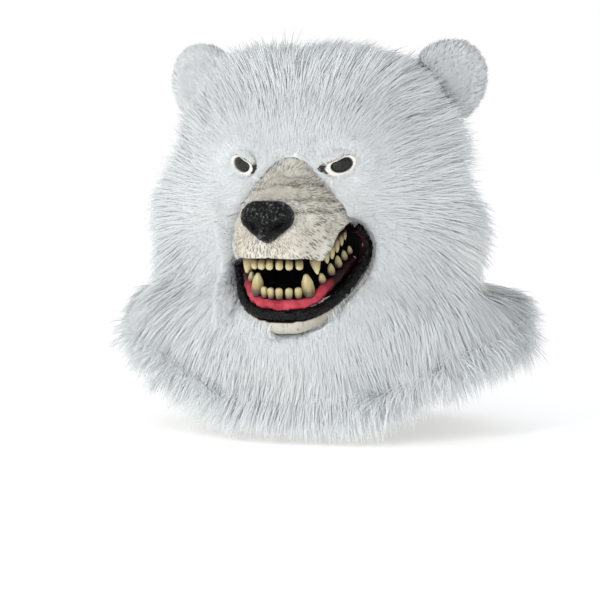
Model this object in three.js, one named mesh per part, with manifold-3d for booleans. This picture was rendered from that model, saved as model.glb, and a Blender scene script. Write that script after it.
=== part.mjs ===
// Bear mask: a fur hood and cape worn over the head, with a snarling latex snout.
// The frame's origin is the crown of the hollow that rests on the wearer's head.
// The face looks along -Y, the bear's left is +X and +Z is up. Sizes are millimetres.

import * as THREE from 'three';
import { mergeVertices } from 'three/addons/utils/BufferGeometryUtils.js';
import Module from 'manifold-3d';

const wasm = await Module();
wasm.setup();

// Fur hood, measured over the fur
const HEAD_WIDTH = 360;
const HEAD_FRONT = 118;
const HEAD_BACK = 154;
const HEAD_DROP = 214;
const CROWN_RISE = 29;

// Hollow for the wearer's head
const HOLLOW_WIDTH = 244;
const HOLLOW_FRONT = 92;
const HOLLOW_BACK = 120;

// Fur cape on the shoulders
const CAPE_WIDTH = 456;
const CAPE_FRONT = 128;
const CAPE_BACK = 172;
const CAPE_FRONT_DROP = 366;
const CAPE_SIDE_DROP = 292;
const CAPE_BACK_DROP = 356;
const CAPE_WALL = 26;
const THROAT_THINNING = 0.4;

// Snout, from the inside of the face to the front of the lip
const SNOUT_BASE = 86;
const SNOUT_LENGTH = 97;
const SNOUT_WIDTH = 132;
const SNOUT_TOP_DROP = 84;
const LIP_DROP = 197;
const LATEX_WALL = 3;
const FACE_TAIL = 40;
const MOUTH_CORNER = 80;

// Lower jaw
const JAW_LENGTH = 60;
const JAW_WIDTH = 156;
const JAW_TOP_DROP = 168;
const JAW_LIP_DROP = 252;
const CHIN_DROP = 273;
const LIP_RADIUS = 6.1;
const CHEEK_DIP = 5;
const CHEEK_FORWARD = 36;
const CHEEK_STEPS = 9;

// Black cup behind the teeth
const LINING_WALL = 2;
const LINING_WIDTH = 142;
const LINING_BACK = 74;
const LINING_DEPTH = 65;

// Teeth and gums
const TOOTH_ARCH_WIDTH = 108;
const ARCH_END = 78;
const UPPER_ARCH_FRONT = 161;
const UPPER_GUM_DROP = 187;
const LOWER_ARCH_FRONT = 146;
const LOWER_GUM_DROP = 242;
const GUM_RADIUS = 6.2;
const INCISOR_WIDTH = 8.9;
const INCISOR_HEIGHT = 15;
const UPPER_CANINE_WIDTH = 12;
const LOWER_CANINE_WIDTH = 14;
const UPPER_CANINE_HEIGHT = 22;
const LOWER_CANINE_HEIGHT = 26;
const CHEEK_TOOTH_WIDTH = 9.8;
const UPPER_CHEEK_HEIGHT = 21;
const LOWER_CHEEK_HEIGHT = 15.5;
const INCISOR_FLATNESS = 0.75;
const CHEEK_TOOTH_FLATNESS = 0.8;
const INCISOR_LEAN = 0.12;
const CANINE_LEAN = 0.1;

// Ears
const EAR_WIDTH = 86;
const EAR_HEIGHT = 98;
const EAR_THICKNESS = 34;
const EAR_DROP = 15;
const EAR_OUT = 8;
const EAR_FORWARD = 3;
const EAR_LEAN = 0.62;
const EAR_TURN = 0.2;
const CUP_WIDTH = 60;
const CUP_THICKNESS = 37;
const CUP_HEIGHT = 70;
const CUP_FORWARD = 21;
const CUP_LIFT = 4;

// Eyes
const EYE_SPACING = 107;
const EYE_DROP = 100;
const EYE_WIDTH = 24;
const EYE_HEIGHT = 15.5;
const EYE_TURN = 0.42;
const EYE_SLANT = 0.3;
const EYE_RECESS = 4;
const LID_RIM = 5;
const LID_FRONT = 2.8;
const EYE_FUNNEL = 1.3;

// Nose
const NOSE_WIDTH = 57;
const NOSE_HEIGHT = 42;
const NOSE_DEPTH = 26;
const NOSE_TIP_DROP = 177;
const NOSE_SQUARE = 2.4;
const NOSE_ROUNDING = 0.4;

// Gap kept between pieces that touch
const GAP = 0.3;

// Colours of the materials
const FUR_WHITE = 0xe6e8ea;
const LATEX_CREAM = 0xd9d2c0;
const NOSE_BLACK = 0x1b1b1e;
const LIP_BLACK = 0x17171a;
const GUM_PINK = 0xb3414e;
const CLOTH_BLACK = 0x060606;
const EYE_DARK = 0x26282a;
const TOOTH_IVORY = 0xd2c391;

// How finely the round forms are divided
const HOOD_SIDES = 36;
const SNOUT_SIDES = 18;
const TUBE_SIDES = 8;
const TUBE_STEPS = 24;
const TOOTH_SIDES = 6;
const OVAL_SIDES = 16;
const EAR_SIDES = 20;
const NOSE_SIDES = 16;
const STEPS_BETWEEN_ROWS = 2;

const UP = new THREE.Vector3(0, 0, 1);

function toSolid(geometry) {
  const bare = geometry.clone();
  bare.deleteAttribute('normal');
  bare.deleteAttribute('uv');
  const merged = mergeVertices(bare, 1e-4);
  return new wasm.Manifold(new wasm.Mesh({
    numProp: 3,
    vertProperties: new Float32Array(merged.attributes.position.array),
    triVerts: new Uint32Array(merged.index.array),
  }));
}

function toGeometry(solid) {
  const { numProp, vertProperties, triVerts } = solid.getMesh();
  const positions = new Float32Array((vertProperties.length / numProp) * 3);
  for (let i = 0; i < positions.length / 3; i += 1) {
    positions.set(vertProperties.subarray(i * numProp, i * numProp + 3), i * 3);
  }
  const geometry = new THREE.BufferGeometry();
  geometry.setAttribute('position', new THREE.BufferAttribute(positions, 3));
  geometry.setIndex(new THREE.BufferAttribute(new Uint32Array(triVerts), 1));
  return geometry;
}

// Six times the volume, negative where the faces point in
function signedVolume(points, faces) {
  return faces.reduce((sum, [a, b, c]) => (
    sum + points[a].dot(new THREE.Vector3().crossVectors(points[b], points[c]))
  ), 0);
}

function geometryOf(points, faces) {
  const outward = signedVolume(points, faces) > 0;
  const geometry = new THREE.BufferGeometry().setFromPoints(points);
  geometry.setIndex(faces.flatMap(([a, b, c]) => (outward ? [a, b, c] : [a, c, b])));
  return geometry;
}

// A closed skin over rings that all have the same number of points
function loft(rings) {
  const sides = rings[0].length;
  const points = rings.flat();
  const faces = [];
  for (let r = 0; r + 1 < rings.length; r += 1) {
    for (let i = 0; i < sides; i += 1) {
      const a = r * sides + i;
      const b = r * sides + ((i + 1) % sides);
      faces.push([a, b, b + sides], [a, b + sides, a + sides]);
    }
  }
  [0, rings.length - 1].forEach((r) => {
    const centre = new THREE.Vector3();
    rings[r].forEach((point) => centre.addScaledVector(point, 1 / sides));
    points.push(centre);
    for (let i = 0; i < sides; i += 1) {
      const a = r * sides + i;
      const b = r * sides + ((i + 1) % sides);
      faces.push(r === 0 ? [b, a, points.length - 1] : [a, b, points.length - 1]);
    }
  });
  return toSolid(geometryOf(points, faces));
}

// A tube-like wall whose last ring joins back onto its first
function closedWall(rings) {
  const sides = rings[0].length;
  const points = rings.flat();
  const faces = [];
  for (let r = 0; r < rings.length; r += 1) {
    const next = ((r + 1) % rings.length) * sides;
    for (let i = 0; i < sides; i += 1) {
      const j = (i + 1) % sides;
      faces.push([r * sides + i, r * sides + j, next + j]);
      faces.push([r * sides + i, next + j, next + i]);
    }
  }
  return toSolid(geometryOf(points, faces));
}

// Rows of named numbers, filled in between by a smooth curve
function smoothRows(rows, steps = STEPS_BETWEEN_ROWS) {
  const filled = [];
  for (let r = 0; r + 1 < rows.length; r += 1) {
    const near = [r - 1, r, r + 1, r + 2].map((n) => (
      rows[THREE.MathUtils.clamp(n, 0, rows.length - 1)]
    ));
    for (let s = 0; s < steps; s += 1) {
      filled.push(rowBetween(near, s / steps));
    }
  }
  filled.push({ ...rows[rows.length - 1] });
  return filled;
}

function rowBetween(near, t) {
  const row = {};
  Object.keys(near[1]).forEach((key) => {
    const [before, from, to, after] = near.map((n) => n[key]);
    const leave = (to - before) / 2;
    const arrive = (after - from) / 2;
    const curve = THREE.MathUtils.clamp(
      from + leave * t + (3 * (to - from) - 2 * leave - arrive) * t * t
        + (leave + arrive - 2 * (to - from)) * t * t * t,
      Math.min(from, to),
      Math.max(from, to),
    );
    row[key] = curve;
  });
  return row;
}

// Side and forward shares of a rounded outline, the angle counted from the front
function outline(angle, square) {
  const power = 2 / square;
  return {
    side: Math.sign(Math.sin(angle)) * Math.abs(Math.sin(angle)) ** power,
    fore: Math.sign(Math.cos(angle)) * Math.abs(Math.cos(angle)) ** power,
  };
}

// A level ring round the head, widest at some distance in front of the axis
function levelRing(row, grow) {
  return Array.from({ length: HOOD_SIDES }, (_, i) => {
    const { side, fore } = outline((i / HOOD_SIDES) * 2 * Math.PI, 2);
    const reach = fore > 0 ? row.front - row.widest : row.back + row.widest;
    return new THREE.Vector3(
      side * (row.half + grow),
      -row.widest - fore * (reach + grow),
      row.z,
    );
  });
}

// Outer form of the hood, from the crown down: shares of the hood's sizes
const HOOD_ROWS = [
  { rise: 1.00, drop: 0.00, half: 0.12, front: 0.14, back: 0.14, widest: 0.00 },
  { rise: 0.90, drop: 0.00, half: 0.34, front: 0.40, back: 0.40, widest: 0.02 },
  { rise: 0.50, drop: 0.00, half: 0.52, front: 0.62, back: 0.60, widest: 0.05 },
  { rise: 0.00, drop: 0.00, half: 0.64, front: 0.76, back: 0.73, widest: 0.10 },
  { rise: 0.00, drop: 0.10, half: 0.73, front: 0.85, back: 0.82, widest: 0.17 },
  { rise: 0.00, drop: 0.24, half: 0.82, front: 0.93, back: 0.90, widest: 0.24 },
  { rise: 0.00, drop: 0.46, half: 0.91, front: 0.97, back: 0.97, widest: 0.28 },
  { rise: 0.00, drop: 0.62, half: 0.97, front: 0.99, back: 1.00, widest: 0.28 },
  { rise: 0.00, drop: 0.77, half: 1.00, front: 0.92, back: 1.00, widest: 0.28 },
  { rise: 0.00, drop: 0.93, half: 1.00, front: 0.78, back: 1.00, widest: 0.26 },
  { rise: 0.00, drop: 1.00, half: 1.00, front: 0.76, back: 1.00, widest: 0.25 },
].map((row) => ({
  z: row.rise * CROWN_RISE - row.drop * HEAD_DROP,
  half: (row.half * HEAD_WIDTH) / 2,
  front: row.front * HEAD_FRONT,
  back: row.back * HEAD_BACK,
  widest: row.widest * HEAD_FRONT,
}));

// Hollow of the hood: shares of the hollow's sizes and of the hood's drop
const HOLLOW_ROWS = [
  { drop: 0.000, half: 0.16, front: 0.22, back: 0.22 },
  { drop: 0.033, half: 0.36, front: 0.48, back: 0.48 },
  { drop: 0.094, half: 0.53, front: 0.68, back: 0.68 },
  { drop: 0.200, half: 0.68, front: 0.84, back: 0.85 },
  { drop: 0.350, half: 0.81, front: 0.95, back: 0.96 },
  { drop: 0.550, half: 0.93, front: 1.00, back: 1.00 },
  { drop: 0.770, half: 1.00, front: 0.98, back: 1.00 },
  { drop: 1.030, half: 1.00, front: 0.88, back: 1.00 },
].map((row) => ({
  z: -row.drop * HEAD_DROP,
  half: (row.half * HOLLOW_WIDTH) / 2,
  front: row.front * HOLLOW_FRONT,
  back: row.back * HOLLOW_BACK,
  widest: 0,
}));

function levelLoft(rows, grow) {
  return loft(rows.map((row) => levelRing(row, grow)));
}

// The hood's outline at one height
function hoodRowAt(z) {
  const below = HOOD_ROWS.findIndex((row) => row.z <= z);
  const upper = HOOD_ROWS[below - 1];
  const lower = HOOD_ROWS[below];
  const t = (upper.z - z) / (upper.z - lower.z);
  const mix = (key) => THREE.MathUtils.lerp(upper[key], lower[key], t);
  return {
    half: mix('half'), front: mix('front'), back: mix('back'), widest: mix('widest'),
  };
}

// Distance in front of the axis of the fur at one side offset and height
function faceReach(x, z) {
  const row = hoodRowAt(z);
  return row.widest + (row.front - row.widest) * Math.sqrt(1 - (x / row.half) ** 2);
}

// An upright ring across the snout or jaw, reach counted forward from the axis.
// The bridge is the share of the width that is left at the very top.
function crossRing(row, grow) {
  const middle = (row.top + row.low) / 2;
  const tall = (row.top - row.low) / 2 + grow;
  return Array.from({ length: SNOUT_SIDES }, (_, i) => {
    const { side, fore } = outline((i / SNOUT_SIDES) * 2 * Math.PI, row.square);
    const narrowing = 1 - (1 - row.bridge) * Math.max(fore, 0);
    return new THREE.Vector3(
      side * narrowing * (row.half + grow),
      -(row.reach + grow),
      middle + fore * tall,
    );
  });
}

// Growing moves the front forward, and a tail carries the form on at the back
function crossLoft(rows, grow, tail = 2 * Math.abs(grow)) {
  const filled = smoothRows(rows);
  const back = { ...filled[0], reach: filled[0].reach - tail };
  return loft([...(tail > 0 ? [back] : []), ...filled].map((row) => crossRing(row, grow)));
}

// Full form of the snout: shares of its length, its width and its drop to the lip
const SNOUT_ROWS = [
  { along: -0.14, half: 1.02, top: -0.04, low: 1.29, bridge: 0.42 },
  { along: 0.12, half: 0.98, top: 0.03, low: 1.29, bridge: 0.46 },
  { along: 0.35, half: 0.91, top: 0.15, low: 1.28, bridge: 0.53 },
  { along: 0.55, half: 0.82, top: 0.24, low: 1.27, bridge: 0.63 },
  { along: 0.72, half: 0.70, top: 0.32, low: 1.25, bridge: 0.75 },
  { along: 0.87, half: 0.56, top: 0.39, low: 1.22, bridge: 0.87 },
  { along: 0.96, half: 0.44, top: 0.46, low: 1.18, bridge: 0.95 },
  { along: 1.00, half: 0.30, top: 0.56, low: 1.10, bridge: 1.00 },
].map((row) => ({
  reach: SNOUT_BASE + row.along * SNOUT_LENGTH,
  half: (row.half * SNOUT_WIDTH) / 2,
  top: -THREE.MathUtils.lerp(SNOUT_TOP_DROP, LIP_DROP, row.top),
  low: -THREE.MathUtils.lerp(SNOUT_TOP_DROP, LIP_DROP, row.low),
  bridge: row.bridge,
  square: 2.4,
}));

// Full form of the lower jaw: shares of its length, its width and the chin's drop
const JAW_ROWS = [
  { along: -0.27, half: 0.98, top: 0.00, low: 0.86 },
  { along: -0.03, half: 0.91, top: 0.02, low: 0.90 },
  { along: 0.22, half: 0.80, top: 0.08, low: 0.95 },
  { along: 0.45, half: 0.70, top: 0.18, low: 0.99 },
  { along: 0.68, half: 0.57, top: 0.32, low: 1.00 },
  { along: 0.88, half: 0.40, top: 0.48, low: 0.99 },
  { along: 0.97, half: 0.25, top: 0.56, low: 0.96 },
  { along: 1.00, half: 0.15, top: 0.62, low: 0.91 },
].map((row) => ({
  reach: SNOUT_BASE + row.along * JAW_LENGTH,
  half: (row.half * JAW_WIDTH) / 2,
  top: -THREE.MathUtils.lerp(JAW_TOP_DROP, CHIN_DROP, row.top),
  low: -THREE.MathUtils.lerp(JAW_TOP_DROP, CHIN_DROP, row.low),
  bridge: 1,
  square: 2.3,
}));

// Black cup: shares of its depth, its width and the drop from upper to lower gum
const LINING_ROWS = [
  { along: 0.00, half: 0.90, top: -0.55, low: 0.72 },
  { along: 0.10, half: 0.97, top: -0.72, low: 0.82 },
  { along: 0.45, half: 0.97, top: -0.72, low: 0.94 },
  { along: 1.00, half: 0.86, top: -0.36, low: 1.00 },
].map((row) => ({
  reach: LINING_BACK + row.along * LINING_DEPTH,
  half: (row.half * LINING_WIDTH) / 2,
  top: -THREE.MathUtils.lerp(UPPER_GUM_DROP, LOWER_GUM_DROP, row.top),
  low: -THREE.MathUtils.lerp(UPPER_GUM_DROP, LOWER_GUM_DROP, row.low),
  bridge: 1,
  square: 2.8,
}));

const LINING_MOUTH = {
  ...LINING_ROWS[LINING_ROWS.length - 1],
  reach: LINING_BACK + 1.5 * LINING_DEPTH,
};

// Edge of the upper lip seen from the side, from the front back to the corner:
// shares of the snout's length, and drops as shares of the lip's drop
const UPPER_EDGE = [
  { along: 1.30, drop: 0.978 },
  { along: 0.88, drop: 0.978 },
  { along: 0.74, drop: 0.990 },
  { along: 0.62, drop: 1.004 },
  { along: 0.52, drop: 0.935 },
  { along: 0.38, drop: 0.868 },
  { along: 0.22, drop: 0.826 },
  { along: 0.08, drop: 0.812 },
  { along: -0.10, drop: 0.827 },
  { along: -0.70, drop: 0.827 },
];

// Edge of the lower lip, as shares of the jaw's length and of the lower lip's drop
const LOWER_EDGE = [
  { along: 1.40, drop: 1.000 },
  { along: 0.98, drop: 1.000 },
  { along: 0.90, drop: 0.992 },
  { along: 0.60, drop: 0.956 },
  { along: 0.22, drop: 0.893 },
  { along: -0.03, drop: 0.829 },
  { along: -0.20, drop: 0.774 },
  { along: -0.27, drop: 0.735 },
  { along: -0.90, drop: 0.715 },
];

// A slab across the mask whose side view is closed by an edge and one level
function slabUnder(edge, level, width, lift = 0) {
  const shape = new THREE.Shape([
    ...edge.map(({ reach, z }) => new THREE.Vector2(reach, z)),
    new THREE.Vector2(edge[edge.length - 1].reach, level),
    new THREE.Vector2(edge[0].reach, level),
  ]);
  const slab = new THREE.ExtrudeGeometry(shape, { depth: width, bevelEnabled: false });
  slab.translate(0, 0, -width / 2);
  slab.applyMatrix4(new THREE.Matrix4().makeBasis(
    new THREE.Vector3(0, -1, 0),
    UP,
    new THREE.Vector3(-1, 0, 0),
  ));
  slab.translate(0, 0, lift);
  return toSolid(slab);
}

const UPPER_LINE = UPPER_EDGE.map(({ along, drop }) => ({
  reach: SNOUT_BASE + along * SNOUT_LENGTH,
  z: -drop * LIP_DROP,
}));
const LOWER_LINE = LOWER_EDGE.map(({ along, drop }) => ({
  reach: SNOUT_BASE + along * JAW_LENGTH,
  z: -drop * JAW_LIP_DROP,
}));

// A tube of one radius along a path
function tube(path, radius, sides, steps) {
  const section = new THREE.Shape(
    Array.from({ length: sides }, (_, i) => {
      const angle = (i / sides) * 2 * Math.PI;
      return new THREE.Vector2(Math.cos(angle) * radius, Math.sin(angle) * radius);
    }),
  );
  return toSolid(new THREE.ExtrudeGeometry(section, {
    steps, bevelEnabled: false, extrudePath: path,
  }));
}

// The room that a tube needs: the same tube grown, with a ball over each end
function tubeRoom(path, radius, grow) {
  const balls = [0, 1].map((end) => {
    const ball = new THREE.SphereGeometry(radius + grow, TUBE_SIDES, TUBE_SIDES);
    return toSolid(ball.translate(...path.getPoint(end).toArray()));
  });
  return tube(path, radius + grow, TUBE_SIDES, TUBE_STEPS).add(balls[0]).add(balls[1]);
}

// Half of a path, mirrored so that it runs from the right corner to the left
function mirroredPath(half) {
  const left = half.map(({ x, reach, z }) => new THREE.Vector3(x, -reach, z));
  const right = left.slice(1).map((point) => point.clone().multiply(
    new THREE.Vector3(-1, 1, 1),
  ));
  return new THREE.CatmullRomCurve3([...right.reverse(), ...left]);
}

// Centre line of the lip, from the middle of the chin to above the mouth corner
const LIP_PATH = mirroredPath([
  { half: 0.00, along: 0.98, drop: 1.000 },
  { half: 0.35, along: 0.90, drop: 0.992 },
  { half: 0.58, along: 0.60, drop: 0.956 },
  { half: 0.74, along: 0.22, drop: 0.893 },
  { half: 0.85, along: -0.03, drop: 0.829 },
  { half: 0.91, along: -0.20, drop: 0.774 },
  { half: 0.92, along: -0.27, drop: 0.726 },
  { half: 0.88, along: -0.22, drop: 0.685 },
  { half: 0.80, along: -0.07, drop: 0.655 },
].map(({ half, along, drop }) => ({
  x: (half * JAW_WIDTH) / 2,
  reach: SNOUT_BASE + along * JAW_LENGTH,
  z: -drop * JAW_LIP_DROP,
})));

// Places along a tooth row, from the middle of the front to the mouth corner:
// side as a share of the arch's half width, back and rise in shares of its depth
const UPPER_ARCH = [
  { side: 0.00, back: 0.00, rise: 0.00 },
  { side: 0.27, back: 0.04, rise: 0.00 },
  { side: 0.43, back: 0.10, rise: 0.00 },
  { side: 0.63, back: 0.25, rise: 0.01 },
  { side: 0.80, back: 0.47, rise: 0.15 },
  { side: 0.91, back: 0.74, rise: 0.26 },
  { side: 0.98, back: 0.97, rise: 0.36 },
];
const LOWER_ARCH = [
  { side: 0.00, back: 0.00, rise: 0.00 },
  { side: 0.18, back: 0.04, rise: 0.00 },
  { side: 0.35, back: 0.11, rise: 0.01 },
  { side: 0.54, back: 0.20, rise: 0.06 },
  { side: 0.76, back: 0.40, rise: 0.26 },
  { side: 0.92, back: 0.70, rise: 0.46 },
  { side: 1.06, back: 0.97, rise: 0.66 },
];
const UPPER_ARCH_DEPTH = UPPER_ARCH_FRONT - ARCH_END;
const LOWER_ARCH_DEPTH = LOWER_ARCH_FRONT - ARCH_END;

function archPath(rows, front, depth, drop) {
  return mirroredPath(rows.map((row) => ({
    x: (row.side * TOOTH_ARCH_WIDTH) / 2,
    reach: front - row.back * depth,
    z: row.rise * depth - drop,
  })));
}

const UPPER_PATH = archPath(
  UPPER_ARCH, UPPER_ARCH_FRONT, UPPER_ARCH_DEPTH, UPPER_GUM_DROP,
);
const LOWER_PATH = archPath(
  LOWER_ARCH, LOWER_ARCH_FRONT, LOWER_ARCH_DEPTH, LOWER_GUM_DROP,
);

// The point of a path at one side offset, and the way that it runs there
function onPath(path, x) {
  let low = 0;
  let high = 1;
  for (let step = 0; step < 30; step += 1) {
    const middle = (low + high) / 2;
    if (path.getPoint(middle).x < x) {
      low = middle;
    } else {
      high = middle;
    }
  }
  return { point: path.getPoint(low), along: path.getTangent(low) };
}

// Tooth outlines from the root to the tip: height and half width as shares
const INCISOR_PROFILE = [
  { up: 0.00, half: 0.38 },
  { up: 0.78, half: 0.50 },
  { up: 0.94, half: 0.42 },
  { up: 1.00, half: 0.22 },
];
const UPPER_CANINE_PROFILE = [
  { up: 0.00, half: 0.46 },
  { up: 0.35, half: 0.50 },
  { up: 0.70, half: 0.32 },
  { up: 1.00, half: 0.08 },
];
const LOWER_CANINE_PROFILE = [
  { up: 0.00, half: 0.38 },
  { up: 0.35, half: 0.50 },
  { up: 0.70, half: 0.43 },
  { up: 1.00, half: 0.14 },
];
const CHEEK_PROFILE = [
  { up: 0.00, half: 0.44 },
  { up: 0.45, half: 0.50 },
  { up: 0.75, half: 0.38 },
  { up: 1.00, half: 0.12 },
];

// A tooth turned about its own axis, root at the origin and tip up
function turnedTooth(profile, width, height, thickness) {
  const points = [
    new THREE.Vector2(0, 0),
    ...profile.map(({ up, half }) => new THREE.Vector2(half * width, up * height)),
    new THREE.Vector2(0, height),
  ];
  const tooth = new THREE.LatheGeometry(points, TOOTH_SIDES);
  tooth.rotateX(Math.PI / 2);
  tooth.scale(1, thickness, 1);
  return tooth;
}

// Sets a tooth upright on its gum, leaning out, with its root trimmed to the gum
function seatTooth(tooth, place, x, lean) {
  const { path, up, gum } = place;
  const { point, along } = onPath(path, x);
  const outward = new THREE.Vector3(along.y, -along.x, 0).normalize();
  const square = new THREE.Vector3().crossVectors(outward, along).normalize();
  const tip = square.multiplyScalar(Math.sign(square.z) * up)
    .addScaledVector(UP, up)
    .addScaledVector(outward, 2 * lean)
    .normalize();
  const thick = new THREE.Vector3().crossVectors(tip, along).normalize();
  const wide = new THREE.Vector3().crossVectors(thick, tip).normalize();
  tooth.translate(0, 0, GUM_RADIUS / 2);
  tooth.applyMatrix4(new THREE.Matrix4().makeBasis(wide, thick, tip));
  tooth.translate(point.x, point.y, point.z);
  return toSolid(tooth).subtract(gum);
}

// Rows of teeth: side offsets as shares of the arch's half width
const UPPER_TEETH = {
  incisors: [-0.42, -0.26, -0.09, 0.09, 0.26, 0.42],
  canine: 0.63,
  canineWidth: UPPER_CANINE_WIDTH,
  canineHeight: UPPER_CANINE_HEIGHT,
  canineProfile: UPPER_CANINE_PROFILE,
  cheekHeight: UPPER_CHEEK_HEIGHT,
  cheek: [
    { out: 0.755, size: 0.95 },
    { out: 0.825, size: 1.00 },
    { out: 0.875, size: 0.90 },
    { out: 0.915, size: 0.78 },
    { out: 0.945, size: 0.66 },
  ],
};
const LOWER_TEETH = {
  incisors: [-0.34, -0.17, 0.00, 0.17, 0.34],
  canine: 0.53,
  canineWidth: LOWER_CANINE_WIDTH,
  canineHeight: LOWER_CANINE_HEIGHT,
  canineProfile: LOWER_CANINE_PROFILE,
  cheekHeight: LOWER_CHEEK_HEIGHT,
  cheek: [
    { out: 0.74, size: 0.92 },
    { out: 0.84, size: 1.00 },
    { out: 0.92, size: 1.00 },
    { out: 0.99, size: 0.90 },
    { out: 1.05, size: 0.78 },
  ],
};

function toothRow(label, teeth, place) {
  const halfArch = TOOTH_ARCH_WIDTH / 2;
  const row = [];
  teeth.incisors.forEach((side, i) => {
    const shape = turnedTooth(INCISOR_PROFILE, INCISOR_WIDTH, INCISOR_HEIGHT, INCISOR_FLATNESS);
    const incisor = seatTooth(shape, place, side * halfArch, INCISOR_LEAN);
    row.push([`${label}_incisor_${i + 1}`, incisor]);
  });
  [['left', 1], ['right', -1]].forEach(([side, sign]) => {
    const fang = turnedTooth(teeth.canineProfile, teeth.canineWidth, teeth.canineHeight, 1);
    const fangX = sign * teeth.canine * halfArch;
    row.push([`${label}_canine_${side}`, seatTooth(fang, place, fangX, CANINE_LEAN)]);
    teeth.cheek.forEach(({ out, size }, i) => {
      const width = CHEEK_TOOTH_WIDTH * size;
      const height = teeth.cheekHeight * size;
      const shape = turnedTooth(CHEEK_PROFILE, width, height, CHEEK_TOOTH_FLATNESS);
      const cheekX = sign * out * halfArch;
      row.push([`${label}_cheek_${side}_${i + 1}`, seatTooth(shape, place, cheekX, 0)]);
    });
  });
  return row;
}

// Eye placed on the face: turned outward and slanted down towards the nose
function eyePlace(sign) {
  const x = (sign * EYE_SPACING) / 2;
  const z = -EYE_DROP;
  return new THREE.Matrix4()
    .makeTranslation(x, -(faceReach(x, z) - EYE_RECESS), z)
    .multiply(new THREE.Matrix4().makeRotationZ(sign * EYE_TURN))
    .multiply(new THREE.Matrix4().makeRotationY(-sign * EYE_SLANT));
}

// An oval block of the eye's outline, running forward along -Y from one depth
function ovalBlock(width, height, from, to, flare = 1) {
  const block = new THREE.CylinderGeometry(0.5 * flare, 0.5, to - from, OVAL_SIDES);
  block.translate(0, (from + to) / 2, 0);
  block.rotateX(Math.PI);
  block.scale(width, 1, height);
  return block;
}

function placed(geometry, matrix) {
  return toSolid(geometry.clone().applyMatrix4(matrix));
}

function eyeDisc(sign) {
  const disc = new THREE.SphereGeometry(0.5, OVAL_SIDES, 8);
  disc.scale(EYE_WIDTH - 2 * GAP, EYE_HEIGHT / 2, EYE_HEIGHT - 2 * GAP);
  return placed(disc, eyePlace(sign));
}

function eyeLid(sign) {
  const outer = ovalBlock(
    EYE_WIDTH + 2 * LID_RIM, EYE_HEIGHT + 2 * LID_RIM, -EYE_RECESS, LID_FRONT,
  );
  const inner = ovalBlock(EYE_WIDTH, EYE_HEIGHT, -EYE_HEIGHT, EYE_HEIGHT, 1);
  return placed(outer, eyePlace(sign)).subtract(placed(inner, eyePlace(sign)));
}

// Clearance round an eye: a seat for the lid, a hole behind it and a funnel in front
function eyeRoom(sign) {
  const width = EYE_WIDTH + 2 * (LID_RIM + GAP);
  const height = EYE_HEIGHT + 2 * (LID_RIM + GAP);
  const seat = ovalBlock(width, height, -EYE_RECESS - GAP, EYE_RECESS);
  const behind = ovalBlock(EYE_WIDTH, EYE_HEIGHT, -4 * EYE_HEIGHT, 0);
  const front = ovalBlock(width, height, EYE_RECESS - GAP, 2 * EYE_HEIGHT, EYE_FUNNEL);
  return placed(seat, eyePlace(sign))
    .add(placed(behind, eyePlace(sign)))
    .add(placed(front, eyePlace(sign)));
}

// Ear: a flattened ball, hollowed in front, leaning out from the crown
function ear(sign, hoodGrown) {
  const seat = hoodRowAt(-EAR_DROP).half;
  const place = new THREE.Matrix4()
    .makeTranslation(sign * (seat + EAR_OUT), EAR_FORWARD, -EAR_DROP)
    .multiply(new THREE.Matrix4().makeRotationZ(sign * EAR_TURN))
    .multiply(new THREE.Matrix4().makeRotationY(sign * EAR_LEAN));
  const ball = new THREE.SphereGeometry(0.5, EAR_SIDES, EAR_SIDES / 2);
  ball.scale(EAR_WIDTH, EAR_THICKNESS, EAR_HEIGHT);
  const cup = new THREE.SphereGeometry(0.5, EAR_SIDES, EAR_SIDES / 2);
  cup.scale(CUP_WIDTH, CUP_THICKNESS, CUP_HEIGHT);
  cup.translate(0, -CUP_FORWARD, CUP_LIFT);
  return placed(ball, place).subtract(placed(cup, place)).subtract(hoodGrown);
}

// Nose pad: a rounded block, broad above and pointed below. Height from the tip,
// half width and swell of the front as shares of the nose
const NOSE_ROWS = [
  { share: 0.00, half: 0.08, swell: 0.10 },
  { share: 0.10, half: 0.32, swell: 0.12 },
  { share: 0.26, half: 0.66, swell: 0.30 },
  { share: 0.42, half: 0.91, swell: 0.45 },
  { share: 0.60, half: 1.00, swell: 0.60 },
  { share: 0.78, half: 0.95, swell: 0.80 },
  { share: 0.92, half: 0.76, swell: 0.92 },
  { share: 1.00, half: 0.48, swell: 0.94 },
];

function nose() {
  const front = SNOUT_BASE + SNOUT_LENGTH;
  const rings = NOSE_ROWS.map(({ share, half, swell }) => {
    const edge = Math.sin(swell * Math.PI) ** NOSE_ROUNDING;
    return Array.from({ length: NOSE_SIDES }, (_, i) => {
      const { side, fore } = outline((i / NOSE_SIDES) * 2 * Math.PI, NOSE_SQUARE);
      return new THREE.Vector3(
        (side * half * NOSE_WIDTH) / 2,
        -front - fore * edge * (NOSE_DEPTH / 2),
        share * NOSE_HEIGHT - NOSE_TIP_DROP,
      );
    });
  });
  return loft(rings);
}

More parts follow.
